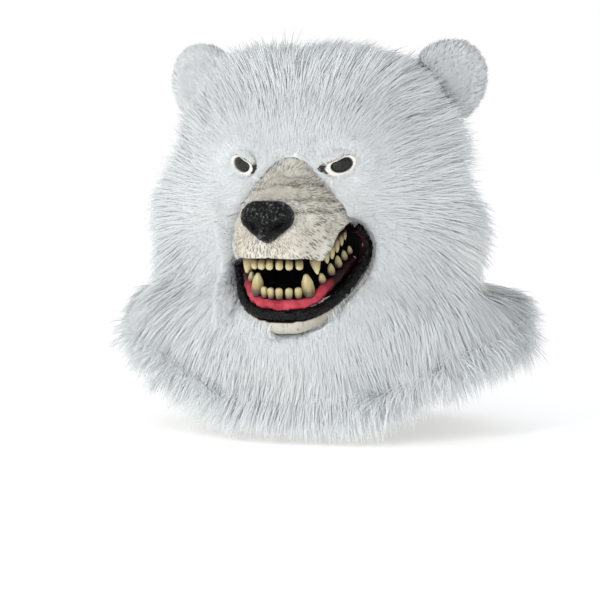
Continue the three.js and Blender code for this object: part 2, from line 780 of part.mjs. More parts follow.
// Cape ring at one share of the way from the neck seam to the hem
function capeRing({ down, out, wall }) {
  const top = hoodRowAt(-HEAD_DROP);
  const bottom = {
    half: CAPE_WIDTH / 2, front: CAPE_FRONT, back: CAPE_BACK, widest: 0,
  };
  const mix = (key) => THREE.MathUtils.lerp(top[key], bottom[key], out);
  return Array.from({ length: HOOD_SIDES }, (_, i) => {
    const { side, fore } = outline((i / HOOD_SIDES) * 2 * Math.PI, 2);
    const thinning = THREE.MathUtils.lerp(THROAT_THINNING, 1, down);
    const inset = wall * THREE.MathUtils.lerp(1, thinning, Math.max(fore, 0) ** 2);
    const widest = mix('widest');
    const reach = fore > 0 ? mix('front') - widest : mix('back') + widest;
    const endDrop = fore > 0 ? CAPE_FRONT_DROP : CAPE_BACK_DROP;
    const drop = THREE.MathUtils.lerp(CAPE_SIDE_DROP, endDrop, fore ** 2);
    return new THREE.Vector3(
      side * (mix('half') - inset),
      -widest - fore * (reach - inset),
      -THREE.MathUtils.lerp(HEAD_DROP + GAP, drop, down),
    );
  });
}

// Cape profile from the neck to the hem: shares of the way down and out, and how far
// the outer and the inner face lie inside the fur's outline, as shares of the wall
const CAPE_ROWS = [
  { down: 0.00, out: 0.00, outer: 0.00, inner: 1.50 },
  { down: 0.12, out: 0.42, outer: 0.00, inner: 1.00 },
  { down: 0.28, out: 0.76, outer: 0.00, inner: 1.00 },
  { down: 0.50, out: 0.94, outer: 0.00, inner: 1.00 },
  { down: 0.88, out: 1.00, outer: 0.00, inner: 1.00 },
  { down: 1.00, out: 0.98, outer: 0.32, inner: 0.75 },
];

function neckCape() {
  const face = (side) => (row) => capeRing({ ...row, wall: row[side] * CAPE_WALL });
  const outside = CAPE_ROWS.map(face('outer'));
  const inside = CAPE_ROWS.map(face('inner')).reverse();
  return closedWall([...outside, ...inside]);
}

function material(color, roughness, metalness = 0) {
  return new THREE.MeshStandardMaterial({ color, roughness, metalness });
}

function addPiece(group, name, solid, look) {
  const mesh = new THREE.Mesh(toGeometry(solid), look());
  mesh.name = name;
  group.add(mesh);
}

const fur = () => material(FUR_WHITE, 0.95);
const latex = () => material(LATEX_CREAM, 0.6);
const ivory = () => material(TOOTH_IVORY, 0.4);

const mask = new THREE.Group();
mask.name = 'bear_mask';

// A block across the whole mask between two distances in front of the axis
function block(width, from, to) {
  const box = new THREE.BoxGeometry(width, to - from, 2 * CHIN_DROP);
  box.translate(0, -(from + to) / 2, -CHIN_DROP / 2);
  return toSolid(box);
}

// Walls of the snout and jaw, grown by a clearance on both faces
function snoutShell(grow) {
  return crossLoft(SNOUT_ROWS, grow)
    .subtract(crossLoft(SNOUT_ROWS, -LATEX_WALL - grow))
    .subtract(slabUnder(UPPER_LINE, -2 * CHIN_DROP, 2 * SNOUT_WIDTH, -grow));
}

function jawShell(grow) {
  return crossLoft(JAW_ROWS, grow)
    .subtract(crossLoft(JAW_ROWS, -LATEX_WALL - grow))
    .subtract(slabUnder(LOWER_LINE, 0, 2 * JAW_WIDTH, grow));
}

function largestPiece(solid) {
  const pieces = solid.decompose();
  return pieces.sort((a, b) => b.volume() - a.volume())[0];
}

const lipGrown = tubeRoom(LIP_PATH, LIP_RADIUS, GAP);
const snoutWalls = snoutShell(GAP);
const jawWalls = jawShell(GAP);
const snoutRoom = crossLoft(SNOUT_ROWS, GAP, FACE_TAIL);
const jawRoom = crossLoft(JAW_ROWS, GAP, FACE_TAIL);

const liningEnd = { ...LINING_ROWS[1], reach: LINING_ROWS[0].reach };
const upperGumGrown = tubeRoom(UPPER_PATH, GUM_RADIUS, GAP);
const lowerGumGrown = tubeRoom(LOWER_PATH, GUM_RADIUS, GAP);

const liningRoom = crossLoft([liningEnd, ...LINING_ROWS.slice(1)], GAP, FACE_TAIL);

// The fur stands back round the mouth corners, in front of the lip too
function cheekRoom() {
  const channel = tubeRoom(LIP_PATH, LIP_RADIUS, CHEEK_DIP);
  return Array.from({ length: CHEEK_STEPS }, (_, i) => (
    channel.translate(0, -(i * CHEEK_FORWARD) / (CHEEK_STEPS - 1), 0)
  )).reduce((room, next) => room.add(next));
}

const hood = levelLoft(HOOD_ROWS, 0)
  .subtract(levelLoft(HOLLOW_ROWS, 0))
  .subtract(snoutRoom)
  .subtract(jawRoom)
  .subtract(liningRoom)
  .subtract(cheekRoom())
  .subtract(lowerGumGrown)
  .subtract(eyeRoom(1))
  .subtract(eyeRoom(-1));
const hoodGrown = levelLoft(HOOD_ROWS, GAP);
const cape = neckCape().subtract(jawRoom).subtract(lipGrown).subtract(liningRoom);

const gumTube = (path) => tube(path, GUM_RADIUS, TUBE_SIDES, TUBE_STEPS);
const upperGum = gumTube(UPPER_PATH).subtract(snoutWalls).subtract(lipGrown);
const lowerGum = gumTube(LOWER_PATH).subtract(jawWalls).subtract(lipGrown);
// The cup lies inside the snout and the jaw, and is open where the mouth is open
const faceRoom = block(2 * JAW_WIDTH, MOUTH_CORNER, 2 * MOUTH_CORNER);
const throatRoom = block(2 * JAW_WIDTH, 0, MOUTH_CORNER);
const mouthGap = slabUnder(UPPER_LINE, -2 * CHIN_DROP, 2 * SNOUT_WIDTH)
  .intersect(slabUnder(LOWER_LINE, 0, 2 * JAW_WIDTH))
  .intersect(faceRoom);
const cupRoom = crossLoft(SNOUT_ROWS, -LATEX_WALL - GAP)
  .add(crossLoft(JAW_ROWS, -LATEX_WALL - GAP))
  .add(throatRoom);
const cupInside = [...LINING_ROWS, LINING_MOUTH].map((row) => ({
  ...row, reach: row.reach + 2 * LINING_WALL,
}));
const lining = crossLoft(LINING_ROWS, 0)
  .subtract(crossLoft(cupInside, -LINING_WALL, 0))
  .intersect(cupRoom)
  .subtract(mouthGap)
  .subtract(snoutWalls)
  .subtract(jawWalls)
  .subtract(lipGrown)
  .subtract(upperGumGrown)
  .subtract(lowerGumGrown);

addPiece(mask, 'fur_hood', largestPiece(hood), fur);
addPiece(mask, 'neck_cape', cape, fur);
addPiece(mask, 'muzzle', largestPiece(snoutShell(0).subtract(lipGrown)), latex);
addPiece(mask, 'jaw', largestPiece(jawShell(0).subtract(lipGrown)), latex);
const lip = tube(LIP_PATH, LIP_RADIUS, TUBE_SIDES, TUBE_STEPS);
addPiece(mask, 'lip', lip, () => material(LIP_BLACK, 0.3));
addPiece(mask, 'nose', nose().subtract(snoutRoom), () => material(NOSE_BLACK, 0.35));
addPiece(mask, 'upper_gum', largestPiece(upperGum), () => material(GUM_PINK, 0.35));
addPiece(mask, 'lower_gum', largestPiece(lowerGum), () => material(GUM_PINK, 0.35));
addPiece(mask, 'mouth_lining', largestPiece(lining), () => material(CLOTH_BLACK, 0.95));
[['left', 1], ['right', -1]].forEach(([side, sign]) => {
  addPiece(mask, `ear_${side}`, ear(sign, hoodGrown), fur);
  addPiece(mask, `eye_${side}`, eyeDisc(sign), () => material(EYE_DARK, 0.15));
  addPiece(mask, `eyelid_${side}`, eyeLid(sign), latex);
});
[
  ...toothRow('upper', UPPER_TEETH, { path: UPPER_PATH, up: -1, gum: upperGumGrown }),
  ...toothRow('lower', LOWER_TEETH, { path: LOWER_PATH, up: 1, gum: lowerGumGrown }),
].forEach(([name, solid]) => addPiece(mask, name, solid, ivory));

export default mask;
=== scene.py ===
# Bear mask: a white fur hood and cape worn over the head, with ears, a painted latex
# snout and jaw, a leathery nose, a black lip, ivory teeth and dark see-through eyes.
# The face looks along -Y, the bear's left is +X, +Z is up, and lengths are in metres.
import math

import bmesh
import bpy
import numpy as np
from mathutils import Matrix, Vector
from mathutils.kdtree import KDTree


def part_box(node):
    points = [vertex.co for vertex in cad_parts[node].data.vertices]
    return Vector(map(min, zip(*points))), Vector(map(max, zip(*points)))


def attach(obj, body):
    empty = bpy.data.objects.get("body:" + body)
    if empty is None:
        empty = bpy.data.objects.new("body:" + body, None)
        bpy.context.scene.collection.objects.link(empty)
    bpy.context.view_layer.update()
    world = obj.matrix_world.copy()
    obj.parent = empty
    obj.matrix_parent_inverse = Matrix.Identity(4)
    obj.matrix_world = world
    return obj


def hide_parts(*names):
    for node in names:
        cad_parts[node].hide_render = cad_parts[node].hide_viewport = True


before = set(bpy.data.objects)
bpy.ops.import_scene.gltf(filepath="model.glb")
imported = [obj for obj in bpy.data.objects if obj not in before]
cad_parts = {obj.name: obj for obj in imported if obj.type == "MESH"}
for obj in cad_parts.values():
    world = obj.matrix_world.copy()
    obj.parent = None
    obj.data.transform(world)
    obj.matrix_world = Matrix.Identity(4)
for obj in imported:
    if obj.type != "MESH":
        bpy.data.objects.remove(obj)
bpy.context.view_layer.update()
bpy.ops.object.select_all(action="DESELECT")


# Camera, at the height of the chest and a little to the bear's left, far enough away
# that the snout isn't drawn out.
CAMERA_TURN = math.radians(18)
CAMERA_RISE = math.radians(5)
CAMERA_DISTANCE = 1.9
CAMERA_LENS = 105.6
CAMERA_AIM = Vector((-0.0166, -0.0281, -0.2467))

to_camera = Vector((
    math.sin(CAMERA_TURN) * math.cos(CAMERA_RISE),
    -math.cos(CAMERA_TURN) * math.cos(CAMERA_RISE),
    math.sin(CAMERA_RISE),
))
bpy.ops.object.camera_add(location=CAMERA_AIM + to_camera * CAMERA_DISTANCE)
camera = bpy.context.object
camera.rotation_euler = (-to_camera).to_track_quat("-Z", "Y").to_euler()
camera.data.lens = CAMERA_LENS
bpy.context.scene.camera = camera


# Pale floor just under the hem, a white surround that is dimmer overhead, a broad soft
# light and a small one for the glints on the nose and lip.
FLOOR_DROP = -0.389
FLOOR_SIZE = 30
FLOOR_GLOW = 0.36
SURROUND_LIGHT = 1.0
OVERHEAD_LIGHT = (0.52, 0.54, 0.57, 1)
KEY_POWER = 9.5
KEY_SIZE = 1.4
KEY_PLACE = (-0.55, -1.8, -0.25)
GLINT_POWER = 7
GLINT_SIZE = 0.05
GLINT_PLACE = (-0.30, -1.5, 0.30)
LIGHT_AIM = (0, -0.05, -0.15)

bpy.ops.mesh.primitive_plane_add(size=FLOOR_SIZE, location=(0, 0, FLOOR_DROP))
floor = bpy.context.object
floor.name = "floor"
floor_paint = bpy.data.materials.new("pale_floor")
floor_paint.use_nodes = True
floor_sockets = floor_paint.node_tree.nodes["Principled BSDF"].inputs
floor_sockets["Base Color"].default_value = (1, 1, 1, 1)
floor_sockets["Roughness"].default_value = 0.9
floor_sockets["Emission Color"].default_value = (1, 0.985, 0.96, 1)
floor_sockets["Emission Strength"].default_value = FLOOR_GLOW
floor.data.materials.append(floor_paint)

surround = bpy.data.worlds.new("white_surround")
surround.use_nodes = True
nodes = surround.node_tree.nodes
nodes["Background"].inputs["Strength"].default_value = SURROUND_LIGHT
direction = nodes.new("ShaderNodeTexCoord")
upward = nodes.new("ShaderNodeSeparateXYZ")
dimmed = nodes.new("ShaderNodeValToRGB")
dimmed.color_ramp.elements[0].position = 0.15
dimmed.color_ramp.elements[0].color = (1, 1, 1, 1)
dimmed.color_ramp.elements[1].position = 0.9
dimmed.color_ramp.elements[1].color = OVERHEAD_LIGHT
link = surround.node_tree.links.new
link(direction.outputs["Generated"], upward.inputs["Vector"])
link(upward.outputs["Z"], dimmed.inputs["Fac"])
link(dimmed.outputs["Color"], nodes["Background"].inputs["Color"])
bpy.context.scene.world = surround
bpy.context.scene.view_settings.view_transform = "Standard"


def soft_light(name, place, power, size):
    bpy.ops.object.light_add(type="AREA", location=place)
    light = bpy.context.object
    light.name = name
    light.data.energy = power
    light.data.size = size
    aim = Vector(LIGHT_AIM) - Vector(place)
    light.rotation_euler = aim.to_track_quat("-Z", "Y").to_euler()


soft_light("key_light", KEY_PLACE, KEY_POWER, KEY_SIZE)
soft_light("glint_light", GLINT_PLACE, GLINT_POWER, GLINT_SIZE)


# Hood and cape hide: the backing cloth that the pile is knitted into. It follows the
# fur's outer form a pile's depth below it, and is bare knit cloth on the inside.
HIDE_VOXEL = 0.0048
LONG_PILE = 0.054
SHORT_PILE = 0.009
PILE_DEPTH = 0.34
CHEEK_SWELL = 0.015
CREASE_SWELL = (0.004, -0.012)
HEM_HEIGHT = -0.384
CORNER_PILE = 0.006
FLOW_CENTRE = -0.165
EYE_CLEARING = 0.026
FIELD_WAVES = 10
SHORT_TO_LONG = (0.004, 0.075)
# The pile ends inside this box, given as its lowest and its highest corner
PILE_ROOM = np.array([(-0.249, -0.215, -0.386), (0.249, 0.190, 0.051)])


def merged_copy(node, name):
    """A new object with the CAD node's mesh, its loose triangles joined."""
    piece = bpy.data.objects.new(name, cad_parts[node].data.copy())
    bpy.context.collection.objects.link(piece)
    piece.data.materials.clear()
    mesh = bmesh.new()
    mesh.from_mesh(piece.data)
    bmesh.ops.remove_doubles(mesh, verts=mesh.verts, dist=1e-6)
    mesh.to_mesh(piece.data)
    mesh.free()
    return piece


def apply_modifier(piece, kind, **settings):
    bpy.ops.object.select_all(action="DESELECT")
    piece.select_set(True)
    bpy.context.view_layer.objects.active = piece
    modifier = piece.modifiers.new(kind.lower(), kind)
    for key, value in settings.items():
        setattr(modifier, key, value)
    bpy.ops.object.modifier_apply(modifier=modifier.name)


def points_of(piece):
    flat = np.empty(len(piece.data.vertices) * 3, np.float32)
    piece.data.vertices.foreach_get("co", flat)
    return flat.reshape(-1, 3).astype(float)


def normals_of(piece):
    flat = np.empty(len(piece.data.vertices) * 3, np.float32)
    piece.data.vertices.foreach_get("normal", flat)
    return flat.reshape(-1, 3).astype(float)


def set_points(piece, points):
    piece.data.vertices.foreach_set("co", np.ascontiguousarray(points, np.float32).ravel())
    piece.data.update()


def set_values(piece, name, values):
    """A number at every point of the piece, for its material."""
    layer = piece.data.attributes.new(name, "FLOAT", "POINT")
    layer.data.foreach_set("value", np.ascontiguousarray(values, np.float32))


def smoothstep(values, low, high):
    share = np.clip((values - low) / (high - low), 0, 1)
    return share * share * (3 - 2 * share)


def unit(vectors):
    return vectors / np.maximum(np.linalg.norm(vectors, axis=-1, keepdims=True), 1e-9)


def ripple(points, length, seed):
    """A smooth random vector field: a sum of waves about one length long."""
    rng = np.random.default_rng(seed)
    field = np.zeros_like(points)
    for _ in range(FIELD_WAVES):
        wave = unit(rng.normal(size=3)) * 2 * math.pi / (length * rng.uniform(0.7, 1.5))
        field += np.sin(points @ wave + rng.uniform(0, 7))[:, None] * rng.normal(size=3)
    return field / 3.2


bare_nodes = ["muzzle", "jaw", "lip", "eyelid_left", "eyelid_right", "eye_left", "eye_right"]


def spread_points(node):
    """The corners, the middles of the edges and the middles of the faces of a CAD mesh."""
    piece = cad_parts[node]
    piece.data.calc_loop_triangles()
    corners = np.empty(len(piece.data.loop_triangles) * 3, np.int32)
    piece.data.loop_triangles.foreach_get("vertices", corners)
    a, b, c = np.moveaxis(points_of(piece)[corners.reshape(-1, 3)], 1, 0)
    return np.concatenate([a, (a + b) / 2, (b + c) / 2, (c + a) / 2, (a + b + c) / 3])


bare_points = np.concatenate([spread_points(n) for n in bare_nodes])
bare_tree = KDTree(len(bare_points))
for i, point in enumerate(bare_points):
    bare_tree.insert(point, i)
bare_tree.balance()


def distance_to_bare(points):
    """How far each point is from the bare latex of the face."""
    return np.array([bare_tree.find(p)[2] for p in points])


def pile_length(points, near):
    """Strand length: short beside the bare face, long on the cheeks, crown and cape."""
    length = SHORT_PILE + (LONG_PILE - SHORT_PILE) * smoothstep(near, *SHORT_TO_LONG)
    length = length + CORNER_PILE * beside_mouth(points)
    to_hem = np.maximum(points[:, 2] - HEM_HEIGHT, 0.004)
    return np.minimum(length, to_hem * 1.15)


def beside_mouth(points):
    """1 on the hood's cut edge beside the right corner of the mouth, where pile falls over."""
    x, y, z = points.T
    band = smoothstep(x, -0.0800, -0.0760) * (1 - smoothstep(x, -0.062, -0.058))
    return band * smoothstep(-y, 0.056, 0.062) * smoothstep(0.060 - np.abs(z + 0.200), 0, 0.01)


def pile_flow(points, normals):
    """Way the pile lies: away from the muzzle, back over the crown, down the cape."""
    x, y, z = points.T
    out = np.stack([x, np.zeros_like(x), z - FLOW_CENTRE], axis=1)
    out = unit(out) * (1 - smoothstep(y, 0.02, 0.10))[:, None]
    down = 0.16 + 1.1 * smoothstep(-z, 0.15, 0.25) + 0.8 * smoothstep(y, 0.0, 0.11)
    back = 0.75 * smoothstep(z, -0.25, -0.02) * (1 - smoothstep(y, 0.05, 0.14))
    flow = out + np.stack([np.zeros_like(x), back, -down], axis=1)
    # Beside the mouth corners it stands forward
    at_corner = np.exp(-(((np.abs(x) - 0.072) / 0.016) ** 2) - ((z + 0.185) / 0.026) ** 2)
    at_corner *= smoothstep(-y, 0.045, 0.065)
    flow += 2.5 * at_corner[:, None] * np.array([0, -1, 0])
    for eye in eye_places:
        away = points - np.array(eye)
        reach = np.linalg.norm(away, axis=1, keepdims=True)
        flow += 2.2 * unit(away) * np.exp(-((reach / EYE_CLEARING) ** 2))
    flow -= normals * np.sum(flow * normals, axis=1, keepdims=True)
    return unit(flow)


eye_places = []
for side in ("left", "right"):
    low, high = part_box(f"eye_{side}")
    eye_places.append(tuple((low + high) / 2))


def new_material(name):
    finish = bpy.data.materials.new(name)
    finish.use_nodes = True
    return finish, finish.node_tree.nodes, finish.node_tree.links


def set_sockets(node, sockets):
    for name, value in sockets.items():
        node.inputs[name].default_value = value
    return node


def add_node(nodes, kind, sockets=None):
    """A new shader node, with some of its sockets set."""
    return set_sockets(nodes.new("ShaderNode" + kind), sockets or {})


def colour_ramp(nodes, *stops):
    """A colour ramp. Each stop is a position and a colour, and the first two are its ends."""
    ramp = add_node(nodes, "ValToRGB")
    for k, (position, colour) in enumerate(stops):
        stop = ramp.color_ramp.elements[k] if k < 2 else ramp.color_ramp.elements.new(position)
        stop.position, stop.color = position, colour
    return ramp


def wire(links, *joins):
    """Joins sockets. Each join is a node, its output, the next node and its input."""
    for source, output, target, socket in joins:
        links.new(source.outputs[output], target.inputs[socket])


# The undercoat is off-white like the pile, but set a little darker and cooler than the strands:
# painted shade in the gaps between the locks.
shaded_undercoat, nodes, links = new_material("pile_undercoat_shaded")
shader = set_sockets(nodes["Principled BSDF"], {
    "Base Color": (0.74, 0.765, 0.77, 1), "Roughness": 0.95, "Specular IOR Level": 0.1,
})
place = add_node(nodes, "TexCoord")
fuzz = add_node(nodes, "TexNoise", {"Scale": 260, "Detail": 6})
raised = add_node(nodes, "Bump", {"Strength": 0.6, "Distance": 0.002})
wire(
    links, (place, "Object", fuzz, "Vector"), (fuzz, "Fac", raised, "Height"),
    (raised, "Normal", shader, "Normal"),
)

knit_backing, nodes, links = new_material("knit_backing")
shader = set_sockets(nodes["Principled BSDF"], {"Roughness": 0.9})
place = add_node(nodes, "TexCoord")
ribs = add_node(nodes, "TexWave", {"Scale": 160, "Distortion": 2.5, "Detail": 2})
tint = colour_ramp(nodes, (0.0, (0.55, 0.54, 0.50, 1)), (1.0, (0.74, 0.73, 0.69, 1)))
raised = add_node(nodes, "Bump", {"Strength": 0.5, "Distance": 0.0006})
wire(
    links, (place, "Object", ribs, "Vector"), (ribs, "Fac", tint, "Fac"),
    (tint, "Color", shader, "Base Color"), (ribs, "Fac", raised, "Height"),
    (raised, "Normal", shader, "Normal"),
)


def right_cheek(points):
    """1 where the right cheek's stuffing presses up to the snout, 0 away from there."""
    x, y, z = points.T
    side = smoothstep(x, -0.112, -0.088) * (1 - smoothstep(x, -0.066, -0.060))
    level = smoothstep(z, -0.206, -0.192) * (1 - smoothstep(z, -0.160, -0.142))
    return side * level * smoothstep(-y, 0.050, 0.066)


def crease_filling(points):
    """1 in the crease between the right cheek and the cape, beside the lip."""
    x, y, z = points.T
    level = np.exp(-(((z + 0.228) / 0.028) ** 2) - ((x + 0.081) / 0.012) ** 2)
    return level * smoothstep(-y, 0.02, 0.05)


def hide_from(copies, name):
    """The backing under the pile of one or more CAD solids, grown together."""
    hide = copies[0]
    bpy.ops.object.select_all(action="DESELECT")
    for copy in copies:
        copy.select_set(True)
    bpy.context.view_layer.objects.active = hide
    if len(copies) > 1:
        bpy.ops.object.join()
    hide.name = name
    apply_modifier(hide, "REMESH", mode="VOXEL", voxel_size=HIDE_VOXEL)
    apply_modifier(hide, "CORRECTIVE_SMOOTH", iterations=6, use_only_smooth=True)
    points = points_of(hide)
    filling = crease_filling(points)
    points[:, 0] += CHEEK_SWELL * right_cheek(points) + CREASE_SWELL[0] * filling
    points[:, 1] += CREASE_SWELL[1] * filling
    set_points(hide, points)
    points, normals = points_of(hide), normals_of(hide)
    near = distance_to_bare(points)
    axis = np.stack([points[:, 0], points[:, 1] - 0.015, points[:, 2] * 0.35 + 0.03], axis=1)
    facing = np.sum(unit(axis) * normals, axis=1)
    outside = smoothstep(facing, 0.0, 0.35)
    outside = np.maximum(outside, smoothstep(normals[:, 2], 0.25, 0.5) * (near > 0.03))
    # The cut edge beside each mouth corner is furred too
    mouth_edge = (near < 0.026) & (points[:, 1] < -0.055) & (np.abs(points[:, 0]) > 0.050)
    mouth_edge &= normals[:, 1] < 0.35
    mouth_edge &= np.abs(points[:, 2] + 0.205) < 0.060
    outside = np.where(mouth_edge, 1, outside)
    depth = PILE_DEPTH * pile_length(points, near) * outside * smoothstep(near, 0.003, 0.022)
    set_points(hide, points - normals * depth[:, None])
    set_values(hide, "outside", outside)
    hide.data.materials.append(shaded_undercoat)
    hide.data.materials.append(knit_backing)
    backing = (facing < -0.3) & (outside < 0.5)
    finish = np.empty(len(hide.data.polygons), np.int32)
    for face in hide.data.polygons:
        finish[face.index] = backing[list(face.vertices)].mean() > 0.5
    hide.data.polygons.foreach_set("material_index", finish)
    hide.data.shade_smooth()
    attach(hide, "root")
    return hide


hood_hide = hide_from(
    [merged_copy("fur_hood", "hood_hide"), merged_copy("neck_cape", "cape_hide")], "hood_hide",
)
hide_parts("fur_hood", "neck_cape")
hide_points = points_of(hood_hide)
hide_tree = KDTree(len(hide_points))
for i, point in enumerate(hide_points):
    hide_tree.insert(point, i)
hide_tree.balance()


# Long pile of the hood and cape: thousands of tapered strands rooted in the hide. They
# lie away from the face in locks, and each lock draws to a point.
STRANDS = 113_000
LOCK_PULL = 0.20
STRAND_WIDTH = 0.0013
STRAND_STEPS = np.array([0.0, 0.38, 0.74])
LOCK_SIZE = 26
PILE_GROUPS = 5

pile_white, nodes, links = new_material("white_pile")
nodes.remove(nodes["Principled BSDF"])
shown = nodes["Material Output"]
tone = add_node(nodes, "Attribute")
tone.attribute_name = "tone"
tint = colour_ramp(nodes, (0.0, (0.80, 0.822, 0.830, 1)), (1.0, (0.84, 0.858, 0.858, 1)))
matt = add_node(nodes, "BsdfDiffuse")
glow = add_node(nodes, "BsdfTranslucent")
both = add_node(nodes, "MixShader", {"Fac": 0.35})
wire(
    links, (tone, "Fac", tint, "Fac"), (tint, "Color", matt, "Color"),
    (tint, "Color", glow, "Color"), (matt, "BSDF", both, 1), (glow, "BSDF", both, 2),
    (both, "Shader", shown, "Surface"),
)


def roots_on(hide, count, rng, weight_of):
    """Random places on the outside of a hide: position, normal."""
    hide.data.calc_loop_triangles()
    corners = np.empty(len(hide.data.loop_triangles) * 3, np.int32)
    hide.data.loop_triangles.foreach_get("vertices", corners)
    corners = corners.reshape(-1, 3)
    points, normals = points_of(hide), normals_of(hide)
    outside = np.empty(len(points), np.float32)
    hide.data.attributes["outside"].data.foreach_get("value", outside)
    a, b, c = (points[corners[:, k]] for k in range(3))
    area = np.linalg.norm(np.cross(b - a, c - a), axis=1) / 2
    weight = area * (outside[corners].min(axis=1) > 0.5) * weight_of((a + b + c) / 3)
    chosen = rng.choice(len(corners), size=count, p=weight / weight.sum())
    u, v = rng.random((2, count, 1))
    flip = (u + v) > 1
    u, v = np.where(flip, 1 - u, u), np.where(flip, 1 - v, v)
    share = [1 - u - v, u, v]
    place = sum(share[k] * points[corners[chosen, k]] for k in range(3))
    normal = unit(sum(share[k] * normals[corners[chosen, k]] for k in range(3)))
    return place, normal


def strand_mesh(name, rows, tips, widths, sides, normals, tone):
    """One mesh of flat tapered strands. rows are the points along each strand."""
    count, steps = rows.shape[:2]
    half = sides * widths[:, None, None] / 2
    taper = (1 - STRAND_STEPS[None, :, None] ** 1.6 * 0.75)
    left, right = rows - half * taper, rows + half * taper
    points = np.concatenate([np.stack([left, right], axis=2).reshape(count, -1, 3),
                             tips[:, None]], axis=1)
    size = points.shape[1]
    faces = []
    for k in range(steps - 1):
        faces += [(2 * k, 2 * k + 1, 2 * k + 3), (2 * k, 2 * k + 3, 2 * k + 2)]
    faces.append((size - 3, size - 2, size - 1))
    corners = (np.array(faces)[None] + (np.arange(count) * size)[:, None, None]).ravel()
    mesh = bpy.data.meshes.new(name)
    mesh.vertices.add(count * size)
    mesh.vertices.foreach_set("co", points.astype(np.float32).ravel())
    mesh.loops.add(len(corners))
    mesh.loops.foreach_set("vertex_index", corners.astype(np.int32))
    mesh.polygons.add(len(corners) // 3)
    mesh.polygons.foreach_set("loop_start", np.arange(0, len(corners), 3, dtype=np.int32))
    mesh.update(calc_edges=True)
    layer = mesh.attributes.new("tone", "FLOAT", "POINT")
    layer.data.foreach_set("value", np.repeat(tone, size).astype(np.float32))
    mesh.shade_smooth()
    mesh.normals_split_custom_set_from_vertices(np.repeat(normals, size, axis=0).tolist())
    return mesh


def draw_to_locks(place, paths, per_lock, rng, pull):
    """Draws each strand towards the strand in the middle of its lock."""
    middles = rng.choice(len(place), size=max(len(place) // per_lock, 1), replace=False)
    tree = KDTree(len(middles))
    for k, i in enumerate(middles):
        tree.insert(place[i], k)
    tree.balance()
    nearest = middles[[tree.find(p)[1] for p in place]]
    share = np.array([0.0, 0.10, 0.42, 0.78])[None, :, None] * pull
    return paths + (paths[nearest] - paths) * share, nearest


def grow_pile(hide, count, seed, length_of, lift_of, flow_of, weight_of, lock_size, pull,
              bare_edge=0.0012):
    """Strands of one hide, as arrays of points along each strand."""
    rng = np.random.default_rng(seed)
    place, normal = roots_on(hide, count, rng, weight_of)
    near = distance_to_bare(place)
    keep = near > bare_edge
    place, normal, near = place[keep], normal[keep], near[keep]
    length = length_of(place, near) * rng.uniform(0.72, 1.12, len(place))
    flow = flow_of(place, normal)
    strength = (length / LONG_PILE)[:, None]
    flow = unit(flow + strength * (0.20 * ripple(place, 0.08, 3) + 0.10 * ripple(place, 0.02, 4))
                + 0.12 * rng.normal(size=place.shape))
    lift = lift_of(place, near)[:, None] * rng.uniform(0.75, 1.25, (len(place), 1))
    start = unit(flow * (1 - lift) + normal * (lift + 0.25))
    end = unit(flow + normal * (lift * 0.35) + np.array([0, 0, -0.22]) * strength)
    steps = np.append(STRAND_STEPS, 1.0)
    along = steps[None, :, None]
    reach = length[:, None, None]
    paths = place[:, None] + reach * (
        start[:, None] * (along - along ** 2 / 2) + end[:, None] * along ** 2 / 2
    )
    paths, nearest = draw_to_locks(place, paths, lock_size, rng, pull)
    stray = paths[:, -1] - place
    over = np.maximum(paths[:, -1] - PILE_ROOM[1], PILE_ROOM[0] - paths[:, -1])
    spare = 1 - np.clip(over / np.maximum(np.abs(stray), 1e-6), 0, 0.9).max(axis=1)
    paths = place[:, None] + (paths - place[:, None]) * spare[:, None, None]
    tangent = unit(paths[:, -1] - paths[:, 0])
    facing = unit(normal + 0.28 * rng.normal(size=normal.shape))
    side = unit(np.cross(tangent, facing))
    shade = unit(normal + 0.05 * facing)
    tone = 0.55 + 0.2 * rng.normal(size=len(place)) + 0.2 * ripple(place, 0.06, 9)[:, 0]
    return place, paths, side[:, None], shade, np.clip(tone, 0, 1)


def pile_lift(points, near):
    return 0.04 + 0.08 * smoothstep(near, 0.01, 0.07) + 0.75 * beside_mouth(points)


def face_weight(points):
    """Short pile stands closer together."""
    near = distance_to_bare(points)
    closer = 1 + 1.6 * (1 - smoothstep(near, 0.01, 0.05))
    return closer + 6 * beside_mouth(points)


place, paths, side, shade, tone = grow_pile(
    hood_hide, STRANDS, 11, pile_length, pile_lift, pile_flow, face_weight, LOCK_SIZE, LOCK_PULL,
)
width = np.full(len(place), STRAND_WIDTH) * (0.55 + 0.45 * smoothstep(
    np.linalg.norm(paths[:, -1] - place, axis=1), 0.01, 0.05))
bearing = np.arctan2(place[:, 0], -place[:, 1])
for k, group in enumerate(np.array_split(np.argsort(bearing), PILE_GROUPS)):
    mesh = strand_mesh(
        f"long_pile_{k + 1}", paths[group, :-1], paths[group, -1],
        width[group], side[group], shade[group], tone[group],
    )
    mesh.materials.append(pile_white)
    pile = bpy.data.objects.new(f"long_pile_{k + 1}", mesh)
    bpy.context.collection.objects.link(pile)
    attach(pile, "root")


# Short pile that laps over the edges of the latex, where the hide is glued down on it.
LAP_LENGTH = 0.0085
LAP_WIDTH = 0.0008
LAP_LIFT = 0.22
LAP_LOCK_SIZE = 8
LAP_LOCK_PULL = 0.3


def lap_lift(points, near):
    return np.full(len(points), LAP_LIFT)


def lap_weight(points):
    """1 on latex that touches the hide, 0 away from it."""
    gap = np.array([hide_tree.find(p)[2] for p in points])
    return 1 - smoothstep(gap, 0.0025, 0.0055)


